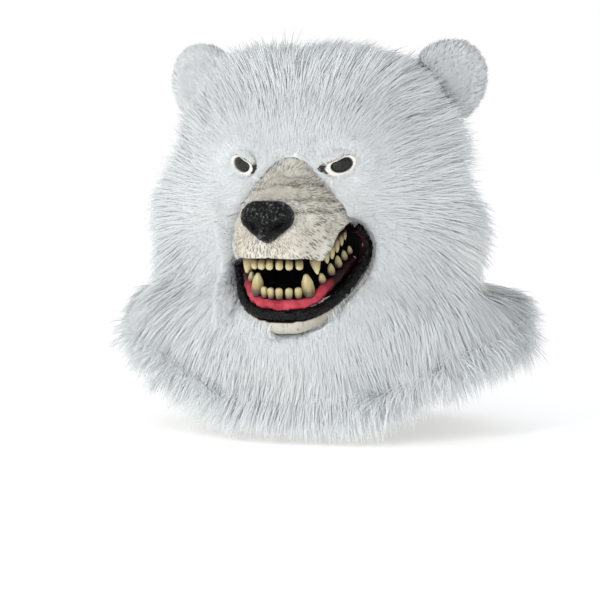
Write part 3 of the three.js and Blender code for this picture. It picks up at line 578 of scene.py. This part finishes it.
def lap_fur(skin, count, seed, weight_of, length):
    """Pile on the edge of a latex piece, as an object of its own."""
    place, paths, side, shade, tone = grow_pile(
        skin, count, seed, lambda points, near: np.full(len(points), length), lap_lift,
        pile_flow, weight_of, LAP_LOCK_SIZE, LAP_LOCK_PULL, bare_edge=-1,
    )
    name = f"lap_pile_{skin.name}"
    mesh = strand_mesh(
        name, paths[:, :-1], paths[:, -1], np.full(len(place), LAP_WIDTH), side, shade, tone,
    )
    mesh.materials.append(pile_white)
    pile = bpy.data.objects.new(name, mesh)
    bpy.context.collection.objects.link(pile)
    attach(pile, "root")


# Ears: short plush over a stiffened cup, thicker round the rim and open to the front.
EAR_VOXEL = 0.0032
PLUSH = 0.011
EAR_STRANDS = 7_500
PLUSH_WIDTH = 0.0008
PLUSH_LIFT = 0.45
PLUSH_DEPTH = 0.35
PLUSH_LOCK_SIZE = 12
PLUSH_LOCK_PULL = 0.35
EAR_ROOT = (0.100, 0.01, -0.045)


def plush_length(points, near):
    return np.full(len(points), PLUSH)


def plush_lift(points, near):
    return np.full(len(points), PLUSH_LIFT)


def plush_weight(points):
    return np.ones(len(points))


for side_name, sign in (("left", 1), ("right", -1)):
    ear = merged_copy(f"ear_{side_name}", f"plush_ear_{side_name}")
    apply_modifier(ear, "REMESH", mode="VOXEL", voxel_size=EAR_VOXEL)
    apply_modifier(ear, "CORRECTIVE_SMOOTH", iterations=8, use_only_smooth=True)
    points, normals = points_of(ear), normals_of(ear)
    set_points(ear, points - normals * PLUSH_DEPTH * PLUSH)
    set_values(ear, "outside", np.ones(len(points)))
    ear.data.materials.append(shaded_undercoat)
    ear.data.shade_smooth()
    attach(ear, "root")
    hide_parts(f"ear_{side_name}")
    root = np.array([sign * EAR_ROOT[0], EAR_ROOT[1], EAR_ROOT[2]])

    def plush_flow(points, normals):
        flow = unit(points - root) + 0.15 * ripple(points, 0.02, 5)
        flow -= normals * np.sum(flow * normals, axis=1, keepdims=True)
        return unit(flow)

    place, paths, side, shade, tone = grow_pile(
        ear, EAR_STRANDS, 21 + sign, plush_length, plush_lift, plush_flow, plush_weight,
        PLUSH_LOCK_SIZE, PLUSH_LOCK_PULL,
    )
    mesh = strand_mesh(
        f"ear_plush_{side_name}", paths[:, :-1], paths[:, -1],
        np.full(len(place), PLUSH_WIDTH), side, shade, tone,
    )
    mesh.materials.append(pile_white)
    plush = bpy.data.objects.new(f"ear_plush_{side_name}", mesh)
    bpy.context.collection.objects.link(plush)
    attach(plush, "root")


# Snout: a hollow slush-moulded latex shell with the upper lip, painted cream. Snarl
# folds cross the bridge, darkened along them with painted shade, and dark hairs are
# brushed on outward from the nose.
SKIN_VOXEL = 0.0018
NOSE_CENTRE = np.array([0.0, -0.186, -0.155])
SNOUT_AXIS = (-0.165, -0.130)
SNOUT_LAPS = 3_500
NEAR_HAIRS = 28
FAR_HAIRS = 60
HAIR_REACH = 6
DEEPEST_FOLD = 0.0022
# Snarl folds: height on the middle line, how steeply the fold falls to the side, depth,
# half thickness, and the side distances that it runs between
SNARL_FOLDS = (
    (-0.1120, 0.10, 0.0012, 0.0013, -0.004, 0.032),
    (-0.1195, 0.02, DEEPEST_FOLD, 0.0018, -0.010, 0.046),
    (-0.1330, 0.05, 0.0018, 0.0015, -0.004, 0.060),
    (-0.1450, 0.03, 0.0020, 0.0016, 0.016, 0.068),
    (-0.1230, 0.03, 0.0018, 0.0014, -0.052, -0.008),
    (-0.1370, 0.05, 0.0016, 0.0014, -0.062, -0.016),
)


def waves(points, length, seed):
    return ripple(points, length, seed)[:, 0]


def snarl(points):
    """Depth of the snarl folds, and the dark along them that is painted shade in the creases."""
    x, y, z = points.T
    wander = 0.0016 * waves(points, 0.016, 31) + 0.0007 * waves(points, 0.006, 32)
    deep, paint = np.zeros(len(x)), np.zeros(len(x))
    for level, fall, depth, thick, start, end in SNARL_FOLDS:
        line = z - level + fall * np.abs(x) + wander
        inside = smoothstep(x, start, start + 0.008)
        inside = inside * (1 - smoothstep(x, end - 0.008, end))
        form = np.exp(-((line / thick) ** 2)) * inside
        ridge = np.exp(-(((line + 2 * thick) / (1.4 * thick)) ** 2)) * inside
        deep += depth * (form - 0.55 * ridge)
        paint += form * depth / DEEPEST_FOLD
    return deep, np.clip(paint, 0, 1)


def outward_of(points, normals, axis_drop, axis_reach):
    """1 on the outer face of a shell round a level axis, 0 on the inner face."""
    middle = points.copy()
    middle[:, 0] = 0
    middle[:, 1] = np.maximum(points[:, 1], axis_reach)
    middle[:, 2] = axis_drop
    return smoothstep(np.sum(unit(points - middle) * normals, axis=1), 0.0, 0.3)


def latex_skin(node, name, axis_drop, axis_reach, relief):
    """A smooth latex shell from a CAD shell, with its folds pressed in."""
    skin = merged_copy(node, name)
    apply_modifier(skin, "REMESH", mode="VOXEL", voxel_size=SKIN_VOXEL)
    apply_modifier(skin, "CORRECTIVE_SMOOTH", iterations=10, use_only_smooth=True)
    points, normals = points_of(skin), normals_of(skin)
    outer = outward_of(points, normals, axis_drop, axis_reach)
    deep, paint = relief(points)
    set_points(skin, points - normals * (deep * outer)[:, None])
    # The dark along the folds is painted shade in the creases, kept to the outer face.
    set_values(skin, "painted_fold_shade", paint * outer)
    set_values(skin, "inner", 1 - outer)
    set_values(skin, "outside", outer)
    skin.data.shade_smooth()
    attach(skin, "root")
    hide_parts(node)
    return skin


def brushed_map(skin, name, centre, fine):
    """A UV map that runs outward from the nose, for the brushed hairs."""
    points = points_of(skin)
    offset = points - centre
    reach = np.sqrt(offset[:, 0] ** 2 + offset[:, 2] ** 2) + 0.8 * np.abs(offset[:, 1]) + 0.004
    turn = np.arctan2(offset[:, 0], offset[:, 2] - 0.02)
    layer = skin.data.uv_layers.new(name=name)
    corner = np.empty(len(skin.data.loops), np.int32)
    skin.data.loops.foreach_get("vertex_index", corner)
    flat = np.stack([turn[corner] * fine, np.log(reach[corner]) * fine / HAIR_REACH], axis=1)
    layer.data.foreach_set("uv", flat.astype(np.float32).ravel())


def snout_relief(points):
    deep, paint = snarl(points)
    x, y, z = points.T
    groove = np.exp(-((x / 0.0016) ** 2)) * smoothstep(-z, 0.176, 0.182) * (y < -0.16)
    pads = np.exp(-(((np.abs(x) - 0.026) / 0.016) ** 2)) * np.exp(-(((z + 0.181) / 0.011) ** 2))
    pads *= smoothstep(-y, 0.13, 0.16)
    edge = smoothstep(-z, 0.187, 0.192)
    deep = deep + 0.0012 * groove - 0.0022 * pads + 0.0006 * waves(points, 0.012, 33) * (1 - edge)
    # The groove down the upper lip is darkened too: painted shade in the crease.
    return deep, np.clip(paint + 0.35 * groove, 0, 1)


def hair_layer(nodes, links, map_name, density, seed):
    """Short brushed hairs: long thin cells of the outward map."""
    outward = add_node(nodes, "UVMap")
    outward.uv_map = map_name
    place = add_node(nodes, "TexCoord")
    shake = add_node(nodes, "TexNoise", {"Scale": 90 + seed, "Detail": 3})
    shift = add_node(nodes, "VectorMath")
    shift.operation = "MULTIPLY_ADD"
    shift.inputs[1].default_value = (1.3, 0.5, 0)
    cells = add_node(nodes, "TexVoronoi")
    cells.voronoi_dimensions = "2D"
    cells.inputs["Scale"].default_value = 1
    line = add_node(nodes, "MapRange", {
        "From Min": 0.19, "From Max": 0.34, "To Min": 1, "To Max": 0,
    })
    patches = add_node(nodes, "TexNoise", {"Scale": 42 + 3 * seed, "Detail": 4})
    here = add_node(nodes, "MapRange", {"From Min": density, "From Max": density + 0.22})
    drawn = add_node(nodes, "Math")
    drawn.operation = "MULTIPLY"
    wire(
        links, (place, "Object", shake, "Vector"), (place, "Object", patches, "Vector"),
        (shake, "Color", shift, 0), (outward, "UV", shift, 2), (shift, "Vector", cells, "Vector"),
        (cells, "Distance", line, "Value"), (patches, "Fac", here, "Value"),
        (line, "Result", drawn, 0), (here, "Result", drawn, 1),
    )
    return drawn


def add_up(nodes, links, first, second):
    total = add_node(nodes, "Math")
    total.operation = "ADD"
    total.use_clamp = True
    links.new(first, total.inputs[0])
    links.new(second, total.inputs[1])
    return total.outputs["Value"]


def paint_latex(name, density, shade=1.0):
    """Cream latex paint with brushed hairs, painted shade along the folds and dark flesh on the
    inside.
    """
    paint, nodes, links = new_material(name)
    shader = set_sockets(nodes["Principled BSDF"], {
        "Roughness": 0.55, "Specular IOR Level": 0.35,
    })
    place = add_node(nodes, "TexCoord")
    clouds = add_node(nodes, "TexNoise", {"Scale": 38, "Detail": 5})
    # A shade below 1 darkens the cream as painted shade.
    cream = colour_ramp(
        nodes,
        (0.32, (0.50 * shade, 0.455 * shade, 0.37 * shade, 1)),
        (0.66, (0.66 * shade, 0.635 * shade, 0.555 * shade, 1)),
    )
    # The folds' dark, broken up by the grain, is painted shade in the creases.
    fold = add_node(nodes, "Attribute")
    fold.attribute_name = "painted_fold_shade"
    grain = add_node(nodes, "TexNoise", {"Scale": 420, "Detail": 4})
    broken = add_node(nodes, "MapRange", {"From Min": 0.36, "From Max": 0.58})
    brushed = add_node(nodes, "Math")
    brushed.operation = "MULTIPLY"
    near_hairs = hair_layer(nodes, links, "near_nose", density, 1)
    far_hairs = hair_layer(nodes, links, "far_nose", density + 0.03, 4)
    dark = add_up(nodes, links, near_hairs.outputs["Value"], far_hairs.outputs["Value"])
    wire(
        links, (place, "Object", grain, "Vector"), (grain, "Fac", broken, "Value"),
        (fold, "Fac", brushed, 0), (broken, "Result", brushed, 1),
    )
    dark = add_up(nodes, links, dark, brushed.outputs["Value"])
    strength = add_node(nodes, "Math")
    strength.operation = "MULTIPLY"
    strength.inputs[1].default_value = 0.82
    links.new(dark, strength.inputs[0])
    hairs = add_node(nodes, "Mix")
    hairs.data_type = "RGBA"
    hairs.inputs["B"].default_value = (0.085, 0.075, 0.07, 1)
    wire(
        links, (place, "Object", clouds, "Vector"), (clouds, "Fac", cream, "Fac"),
        (cream, "Color", hairs, "A"), (strength, "Value", hairs, "Factor"),
    )
    inner = add_node(nodes, "Attribute")
    inner.attribute_name = "inner"
    flesh = add_node(nodes, "Mix")
    flesh.data_type = "RGBA"
    flesh.inputs["B"].default_value = (0.045, 0.006, 0.009, 1)
    wire(
        links, (hairs, "Result", flesh, "A"), (inner, "Fac", flesh, "Factor"),
        (flesh, "Result", shader, "Base Color"),
    )
    height = add_node(nodes, "Math")
    height.operation = "MULTIPLY_ADD"
    height.inputs[1].default_value = -0.6
    links.new(dark, height.inputs[0])
    wire(links, (grain, "Fac", height, 2))
    raised = add_node(nodes, "Bump", {"Strength": 0.45, "Distance": 0.0006})
    wire(
        links, (height, "Value", raised, "Height"), (raised, "Normal", shader, "Normal"),
    )
    return paint


snout = latex_skin("muzzle", "snout", *SNOUT_AXIS, snout_relief)
brushed_map(snout, "near_nose", NOSE_CENTRE, NEAR_HAIRS)
brushed_map(snout, "far_nose", NOSE_CENTRE, FAR_HAIRS)
snout.data.materials.append(paint_latex("snout_paint", 0.34))
lap_fur(snout, SNOUT_LAPS, 31, lap_weight, LAP_LENGTH)


# Chin: the lower jaw's latex shell, cream outside with few hairs, dark flesh inside.
# Its cream is darker than the snout's: painted shade.
# Pile laps over it on both sides, and leaves a bare patch in the middle.
CHIN_AXIS = (-0.215, -0.100)
CHIN_LAPS = 6_500
CHIN_LAP_LENGTH = 1.5 * LAP_LENGTH
BARE_MIDDLE = 0.017
BARE_HALF = (0.025, 0.031)


def chin_relief(points):
    deep = 0.0007 * waves(points, 0.014, 41)
    return deep, np.zeros(len(points))


chin = latex_skin("jaw", "chin", *CHIN_AXIS, chin_relief)
brushed_map(chin, "near_nose", NOSE_CENTRE, NEAR_HAIRS)
brushed_map(chin, "far_nose", NOSE_CENTRE, FAR_HAIRS)
# The chin's cream is darkened to 0.80 of the snout's: painted shade.
chin.data.materials.append(paint_latex("chin_paint_shaded", 0.50, 0.80))


def chin_lap_weight(points):
    """The pile reaches the lip on both sides of a bare patch in the middle."""
    sides = smoothstep(np.abs(points[:, 0] - BARE_MIDDLE), *BARE_HALF)
    return np.maximum(lap_weight(points), sides)


lap_fur(chin, CHIN_LAPS, 32, chin_lap_weight, CHIN_LAP_LENGTH)


# Nose: solid black latex with a leathery grain under gloss, and pale grey specks on
# its high points that are painted glints. Two comma-shaped nostrils are pressed in, with a
# ridge between them.
NOSE_VOXEL = 0.0011
NOSTRIL_SIDE = 0.0155
NOSTRIL_DROP = -0.160
NOSTRIL_DEPTH = 0.0075
NOSE_GROOVE = 0.0012
WING_SWELL = 0.0012

nose = merged_copy("nose", "leathery_nose")
apply_modifier(nose, "REMESH", mode="VOXEL", voxel_size=NOSE_VOXEL)
apply_modifier(nose, "CORRECTIVE_SMOOTH", iterations=14, use_only_smooth=True)
points, normals = points_of(nose), normals_of(nose)
x, y, z = points.T
front = smoothstep(-normals[:, 1], 0.0, 0.5)
turned = (z - NOSTRIL_DROP) - 0.35 * (np.abs(x) - NOSTRIL_SIDE)
nostril = np.exp(-(((np.abs(x) - NOSTRIL_SIDE) / 0.0062) ** 2) - (turned / 0.0042) ** 2)
septum = np.exp(-((x / 0.0010) ** 2)) * smoothstep(-z, 0.150, 0.160)
crease = np.exp(-(((np.abs(x) - 0.0075) / 0.0016) ** 2)) * np.exp(-(((z + 0.162) / 0.008) ** 2))
wing = np.exp(-(((np.abs(x) - 0.019) / 0.006) ** 2) - ((z + 0.151) / 0.005) ** 2)
pebbles = 0.00045 * waves(points, 0.0062, 71) + 0.00030 * waves(points, 0.0034, 72)
deep = pebbles * (1 - nostril) + NOSTRIL_DEPTH * nostril * front
deep = deep + NOSE_GROOVE * septum * front + NOSE_GROOVE * crease * front - WING_SWELL * wing
set_points(nose, points - normals * deep[:, None])
set_values(nose, "nostril", np.clip(nostril * front, 0, 1))
nose.data.shade_smooth()
nose_black, nodes, links = new_material("nose_black")
shader = set_sockets(nodes["Principled BSDF"], {
    "Roughness": 0.22, "Specular IOR Level": 0.32, "Coat Weight": 0.08, "Coat Roughness": 0.12,
})
place = add_node(nodes, "TexCoord")
leather = add_node(nodes, "TexVoronoi", {"Scale": 560})
leather.feature = "DISTANCE_TO_EDGE"
pores = add_node(nodes, "TexNoise", {"Scale": 300, "Detail": 5})
rough = add_node(nodes, "Math")
rough.operation = "MULTIPLY_ADD"
rough.inputs[1].default_value = 1.6
raised = add_node(nodes, "Bump", {"Strength": 0.9, "Distance": 0.0040})
inside = add_node(nodes, "Attribute")
inside.attribute_name = "nostril"
# Pale grey specks from the pores, kept out of the nostrils: painted glints.
painted_glints = add_node(nodes, "Math")
painted_glints.operation = "SUBTRACT"
tint = colour_ramp(nodes, (0.53, (0.0016, 0.0017, 0.0019, 1)), (0.66, (0.14, 0.145, 0.145, 1)))
wire(
    links, (place, "Object", leather, "Vector"), (place, "Object", pores, "Vector"),
    (leather, "Distance", rough, 0), (pores, "Fac", rough, 2), (rough, "Value", raised, "Height"),
    (raised, "Normal", shader, "Normal"), (pores, "Fac", painted_glints, 0), (inside, "Fac", painted_glints, 1),
    (painted_glints, "Value", tint, "Fac"), (tint, "Color", shader, "Base Color"),
)
nose.data.materials.append(nose_black)
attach(nose, "root")
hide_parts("nose")


# Lip: a thick black roll of latex round the lower jaw and both corners of the mouth,
# wrinkled and glossy, with a thin pale painted highlight where it meets the gum.
LIP_VOXEL = 0.0014

lip = merged_copy("lip", "black_lip")
apply_modifier(lip, "REMESH", mode="VOXEL", voxel_size=LIP_VOXEL)
apply_modifier(lip, "CORRECTIVE_SMOOTH", iterations=14, use_only_smooth=True)
points, normals = points_of(lip), normals_of(lip)
wrinkle = 0.0005 * waves(points, 0.007, 51) + 0.00035 * waves(points, 0.0035, 52)
set_points(lip, points + normals * wrinkle[:, None])
# A thin pale band on the lip's inner side, broken in places: a painted highlight where it meets
# the gum.
inward = unit(np.array([0.0, -0.085, -0.215]) - points)
facing = np.sum(inward * normals, axis=1)
highlight_band = np.exp(-(((facing - 0.80) / 0.045) ** 2)) * smoothstep(waves(points, 0.02, 53), -0.9, 0.1)
set_values(lip, "painted_highlight_line", highlight_band)
corner = smoothstep(points[:, 1], -0.100, -0.084) * smoothstep(facing, 0.25, 0.6)
set_values(lip, "corner_flesh", corner * smoothstep(points[:, 2], -0.222, -0.210))
lip.data.shade_smooth()
lip_black, nodes, links = new_material("lip_black")
shader = set_sockets(nodes["Principled BSDF"], {
    "Roughness": 0.25, "Specular IOR Level": 0.10, "Coat Weight": 0.04, "Coat Roughness": 0.15,
})
place = add_node(nodes, "TexCoord")
leather = add_node(nodes, "TexVoronoi", {"Scale": 420})
leather.feature = "DISTANCE_TO_EDGE"
pores = add_node(nodes, "TexNoise", {"Scale": 240, "Detail": 5})
rough = add_node(nodes, "Math")
rough.operation = "MULTIPLY_ADD"
raised = add_node(nodes, "Bump", {"Strength": 0.9, "Distance": 0.0020})
# The line's pale cream is the painted highlight.
line = add_node(nodes, "Attribute")
line.attribute_name = "painted_highlight_line"
tint = colour_ramp(nodes, (0.45, (0.0045, 0.005, 0.005, 1)), (0.75, (0.50, 0.44, 0.36, 1)))
wire(
    links, (place, "Object", leather, "Vector"), (place, "Object", pores, "Vector"),
    (leather, "Distance", rough, 0), (pores, "Fac", rough, 2), (rough, "Value", raised, "Height"),
    (raised, "Normal", shader, "Normal"),
)
corner = add_node(nodes, "Attribute")
corner.attribute_name = "corner_flesh"
flesh = add_node(nodes, "Mix")
flesh.data_type = "RGBA"
flesh.inputs["B"].default_value = (0.085, 0.012, 0.024, 1)
wire(
    links, (line, "Fac", tint, "Fac"), (tint, "Color", flesh, "A"),
    (corner, "Fac", flesh, "Factor"), (flesh, "Result", shader, "Base Color"),
)
lip.data.materials.append(lip_black)
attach(lip, "root")
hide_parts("lip")


# Gums: wet pink latex ridges that carry the teeth. The lower gum darkens towards the
# back and the upper gum is dark all over: painted shade.
GUM_VOXEL = 0.0014

gum_pink, nodes, links = new_material("gum_pink")
shader = set_sockets(nodes["Principled BSDF"], {
    "Roughness": 0.4, "Specular IOR Level": 0.15, "Coat Weight": 0.03, "Coat Roughness": 0.15,
})
place = add_node(nodes, "TexCoord")
flesh = add_node(nodes, "TexNoise", {"Scale": 70, "Detail": 5})
tint = colour_ramp(nodes, (0.35, (0.30, 0.022, 0.035, 1)), (0.62, (0.52, 0.065, 0.095, 1)))
raised = add_node(nodes, "Bump", {"Strength": 0.3, "Distance": 0.0008})
wire(
    links, (place, "Object", flesh, "Vector"), (flesh, "Fac", tint, "Fac"),
)
# The dark mixed in at the back is painted shade.
back = add_node(nodes, "Attribute")
back.attribute_name = "mouth_back_shade"
shaded = add_node(nodes, "Mix")
shaded.data_type = "RGBA"
shaded.inputs["B"].default_value = (0.012, 0.002, 0.003, 1)
wire(
    links, (tint, "Color", shaded, "A"), (back, "Fac", shaded, "Factor"),
    (shaded, "Result", shader, "Base Color"), (flesh, "Fac", raised, "Height"),
    (raised, "Normal", shader, "Normal"),
)
for node in ("upper_gum", "lower_gum"):
    gum = merged_copy(node, f"pink_{node}")
    apply_modifier(gum, "REMESH", mode="VOXEL", voxel_size=GUM_VOXEL)
    apply_modifier(gum, "CORRECTIVE_SMOOTH", iterations=8, use_only_smooth=True)
    points, normals = points_of(gum), normals_of(gum)
    set_points(gum, points + normals * (0.0005 * waves(points, 0.009, 61))[:, None])
    # The back of the lower gum and all of the upper gum are darkened: painted shade.
    darker = smoothstep(points[:, 1], -0.132, -0.112) if node == "lower_gum" else 1
    set_values(gum, "mouth_back_shade", np.zeros(len(points)) + darker)
    gum.data.shade_smooth()
    gum.data.materials.append(gum_pink)
    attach(gum, "root")
    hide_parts(node)


# Teeth: hard ivory casts, each set in its gum. The paint is brown and nearly black at
# the root, ivory on the crown and paler at the tip.
TOOTH_VOXEL = 0.0010
TOOTH_SWELL = 0.0003

ivory, nodes, links = new_material("tooth_ivory")
shader = set_sockets(nodes["Principled BSDF"], {
    "Roughness": 0.38, "Coat Weight": 0.12, "Coat Roughness": 0.15,
})
place = add_node(nodes, "TexCoord")
streaks = add_node(nodes, "TexNoise", {"Scale": 260, "Detail": 4})
stretch = add_node(nodes, "Mapping", {"Scale": (1, 1, 0.25)})
height = add_node(nodes, "Attribute")
height.attribute_name = "from_root"
uneven = add_node(nodes, "Math")
uneven.operation = "MULTIPLY_ADD"
uneven.inputs[1].default_value = 0.34
tint = colour_ramp(
    nodes,
    (0.24, (0.030, 0.018, 0.012, 1)),
    (1.0, (0.53, 0.46, 0.25, 1)),
    (0.42, (0.13, 0.09, 0.045, 1)),
    (0.60, (0.32, 0.255, 0.115, 1)),
    (0.80, (0.44, 0.365, 0.165, 1)),
)
raised = add_node(nodes, "Bump", {"Strength": 0.25, "Distance": 0.0005})
wire(
    links, (place, "Object", stretch, "Vector"), (stretch, "Vector", streaks, "Vector"),
    (streaks, "Fac", uneven, 0), (height, "Fac", uneven, 2), (uneven, "Value", tint, "Fac"),
    (tint, "Color", shader, "Base Color"), (streaks, "Fac", raised, "Height"),
    (raised, "Normal", shader, "Normal"),
)

tooth_nodes = [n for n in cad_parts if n.startswith(("upper_", "lower_"))]
for node in sorted(n for n in tooth_nodes if "gum" not in n):
    tooth = merged_copy(node, f"ivory_{node}")
    apply_modifier(tooth, "REMESH", mode="VOXEL", voxel_size=TOOTH_VOXEL)
    apply_modifier(tooth, "CORRECTIVE_SMOOTH", iterations=6, use_only_smooth=True)
    points = points_of(tooth) + normals_of(tooth) * TOOTH_SWELL
    set_points(tooth, points)
    low, high = points[:, 2].min(), points[:, 2].max()
    share = (points[:, 2] - low) / (high - low)
    set_values(tooth, "from_root", share if node.startswith("lower") else 1 - share)
    tooth.data.shade_smooth()
    tooth.data.materials.append(ivory)
    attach(tooth, "root")
    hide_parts(node)


# Mouth lining: a cup of black cloth behind the teeth that the wearer sees through.
lining_black, nodes, links = new_material("black_cloth")
shader = set_sockets(nodes["Principled BSDF"], {
    "Base Color": (0.004, 0.004, 0.004, 1), "Roughness": 1, "Specular IOR Level": 0.1,
})
place = add_node(nodes, "TexCoord")
weave = add_node(nodes, "TexWave", {"Scale": 300})
raised = add_node(nodes, "Bump", {"Strength": 0.3, "Distance": 0.0004})
wire(
    links, (place, "Object", weave, "Vector"), (weave, "Fac", raised, "Height"),
    (raised, "Normal", shader, "Normal"),
)
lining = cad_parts["mouth_lining"]
lining.data.materials.clear()
lining.data.materials.append(lining_black)


# Eyes: domed dark plastic discs pierced with fine holes to see through.
EYE_VOXEL = 0.0008

eye_dark, nodes, links = new_material("eye_dark")
shader = set_sockets(nodes["Principled BSDF"], {
    "Roughness": 0.25, "Specular IOR Level": 0.2, "Coat Weight": 0.1, "Coat Roughness": 0.1,
})
place = add_node(nodes, "TexCoord")
holes = add_node(nodes, "TexVoronoi", {"Scale": 520, "Randomness": 0.35})
tint = colour_ramp(nodes, (0.25, (0.004, 0.004, 0.004, 1)), (0.55, (0.022, 0.023, 0.018, 1)))
raised = add_node(nodes, "Bump", {"Strength": 0.8, "Distance": 0.0006})
wire(
    links, (place, "Object", holes, "Vector"), (holes, "Distance", tint, "Fac"),
    (tint, "Color", shader, "Base Color"), (holes, "Distance", raised, "Height"),
    (raised, "Normal", shader, "Normal"),
)

# Eyelids: cream latex rims. The upper fold is brushed grey, and the inner corner of
# each is painted black. Each rim is glued down under the pile.
LID_HANG = 0.0030
LID_LAPS = 1_100
LID_LAP_LENGTH = 0.7 * LAP_LENGTH
EYE_HALF = (0.0120, 0.0078)
EYE_TILT = 0.3
TEAR_DUCT = {"left": 0.011, "right": 0.002}

lid_cream, nodes, links = new_material("lid_cream")
shader = set_sockets(nodes["Principled BSDF"], {"Roughness": 0.5, "Specular IOR Level": 0.2})
grey = add_node(nodes, "Attribute")
grey.attribute_name = "brushed_grey"
place = add_node(nodes, "TexCoord")
grain = add_node(nodes, "TexNoise", {"Scale": 320, "Detail": 4})
uneven = add_node(nodes, "Math")
uneven.operation = "MULTIPLY_ADD"
uneven.inputs[1].default_value = 0.5
tint = colour_ramp(
    nodes,
    (0.35, (0.74, 0.72, 0.66, 1)),
    (1.0, (0.03, 0.03, 0.03, 1)),
    (0.72, (0.28, 0.27, 0.25, 1)),
)
wire(
    links, (place, "Object", grain, "Vector"), (grain, "Fac", uneven, 0),
    (grey, "Fac", uneven, 2), (uneven, "Value", tint, "Fac"),
    (tint, "Color", shader, "Base Color"),
)

for side_name, sign in (("left", 1), ("right", -1)):
    eye = merged_copy(f"eye_{side_name}", f"dark_eye_{side_name}")
    apply_modifier(eye, "REMESH", mode="VOXEL", voxel_size=EYE_VOXEL)
    apply_modifier(eye, "CORRECTIVE_SMOOTH", iterations=8, use_only_smooth=True)
    eye.data.shade_smooth()
    eye.data.materials.append(eye_dark)
    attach(eye, "root")
    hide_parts(f"eye_{side_name}")

    lid = merged_copy(f"eyelid_{side_name}", f"cream_lid_{side_name}")
    apply_modifier(lid, "REMESH", mode="VOXEL", voxel_size=EYE_VOXEL)
    apply_modifier(lid, "CORRECTIVE_SMOOTH", iterations=10, use_only_smooth=True)
    points = points_of(lid)
    eye_low, eye_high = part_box(f"eye_{side_name}")
    middle = np.array((eye_low + eye_high) / 2)
    across = (points[:, 0] - middle[0]) * sign
    rise = points[:, 2] - middle[2] - EYE_TILT * across
    # The upper lid hangs over the eye and slants down to the nose
    spread = np.hypot(across / EYE_HALF[0], rise / EYE_HALF[1])
    brow = np.exp(-(((np.arctan2(rise, -across) - 1.15) / 0.75) ** 2))
    hang = LID_HANG * brow * (1 - smoothstep(spread, 1.15, 1.75))
    points[:, 2] -= hang
    points[:, 1] -= 0.6 * hang
    # The inner corner runs out to a point, painted black
    toward_nose = np.exp(-((np.arctan2(rise + 0.0015, -across) / 0.42) ** 2))
    run_out = TEAR_DUCT[side_name] * toward_nose * smoothstep(spread, 1.05, 1.40)
    points[:, 0] -= sign * run_out
    points[:, 1] -= 0.25 * run_out
    set_points(lid, points)
    outer = smoothstep(spread, 1.07, 1.18)
    inner_corner = smoothstep(toward_nose, 0.35, 0.6) * smoothstep(spread, 1.08, 1.2)
    upper_fold = outer * smoothstep(rise, 0.001, 0.006)
    set_values(lid, "brushed_grey", np.clip(inner_corner + 0.34 * upper_fold + 0.14 * outer, 0, 1))
    furred = smoothstep(spread, 1.12, 1.24) * (normals_of(lid)[:, 1] < 0.2)
    set_values(lid, "outside", furred * (toward_nose < 0.3))
    lid.data.shade_smooth()
    lid.data.materials.append(lid_cream)
    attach(lid, "root")
    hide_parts(f"eyelid_{side_name}")
    lap_fur(lid, LID_LAPS, 41 + sign, plush_weight, LID_LAP_LENGTH)
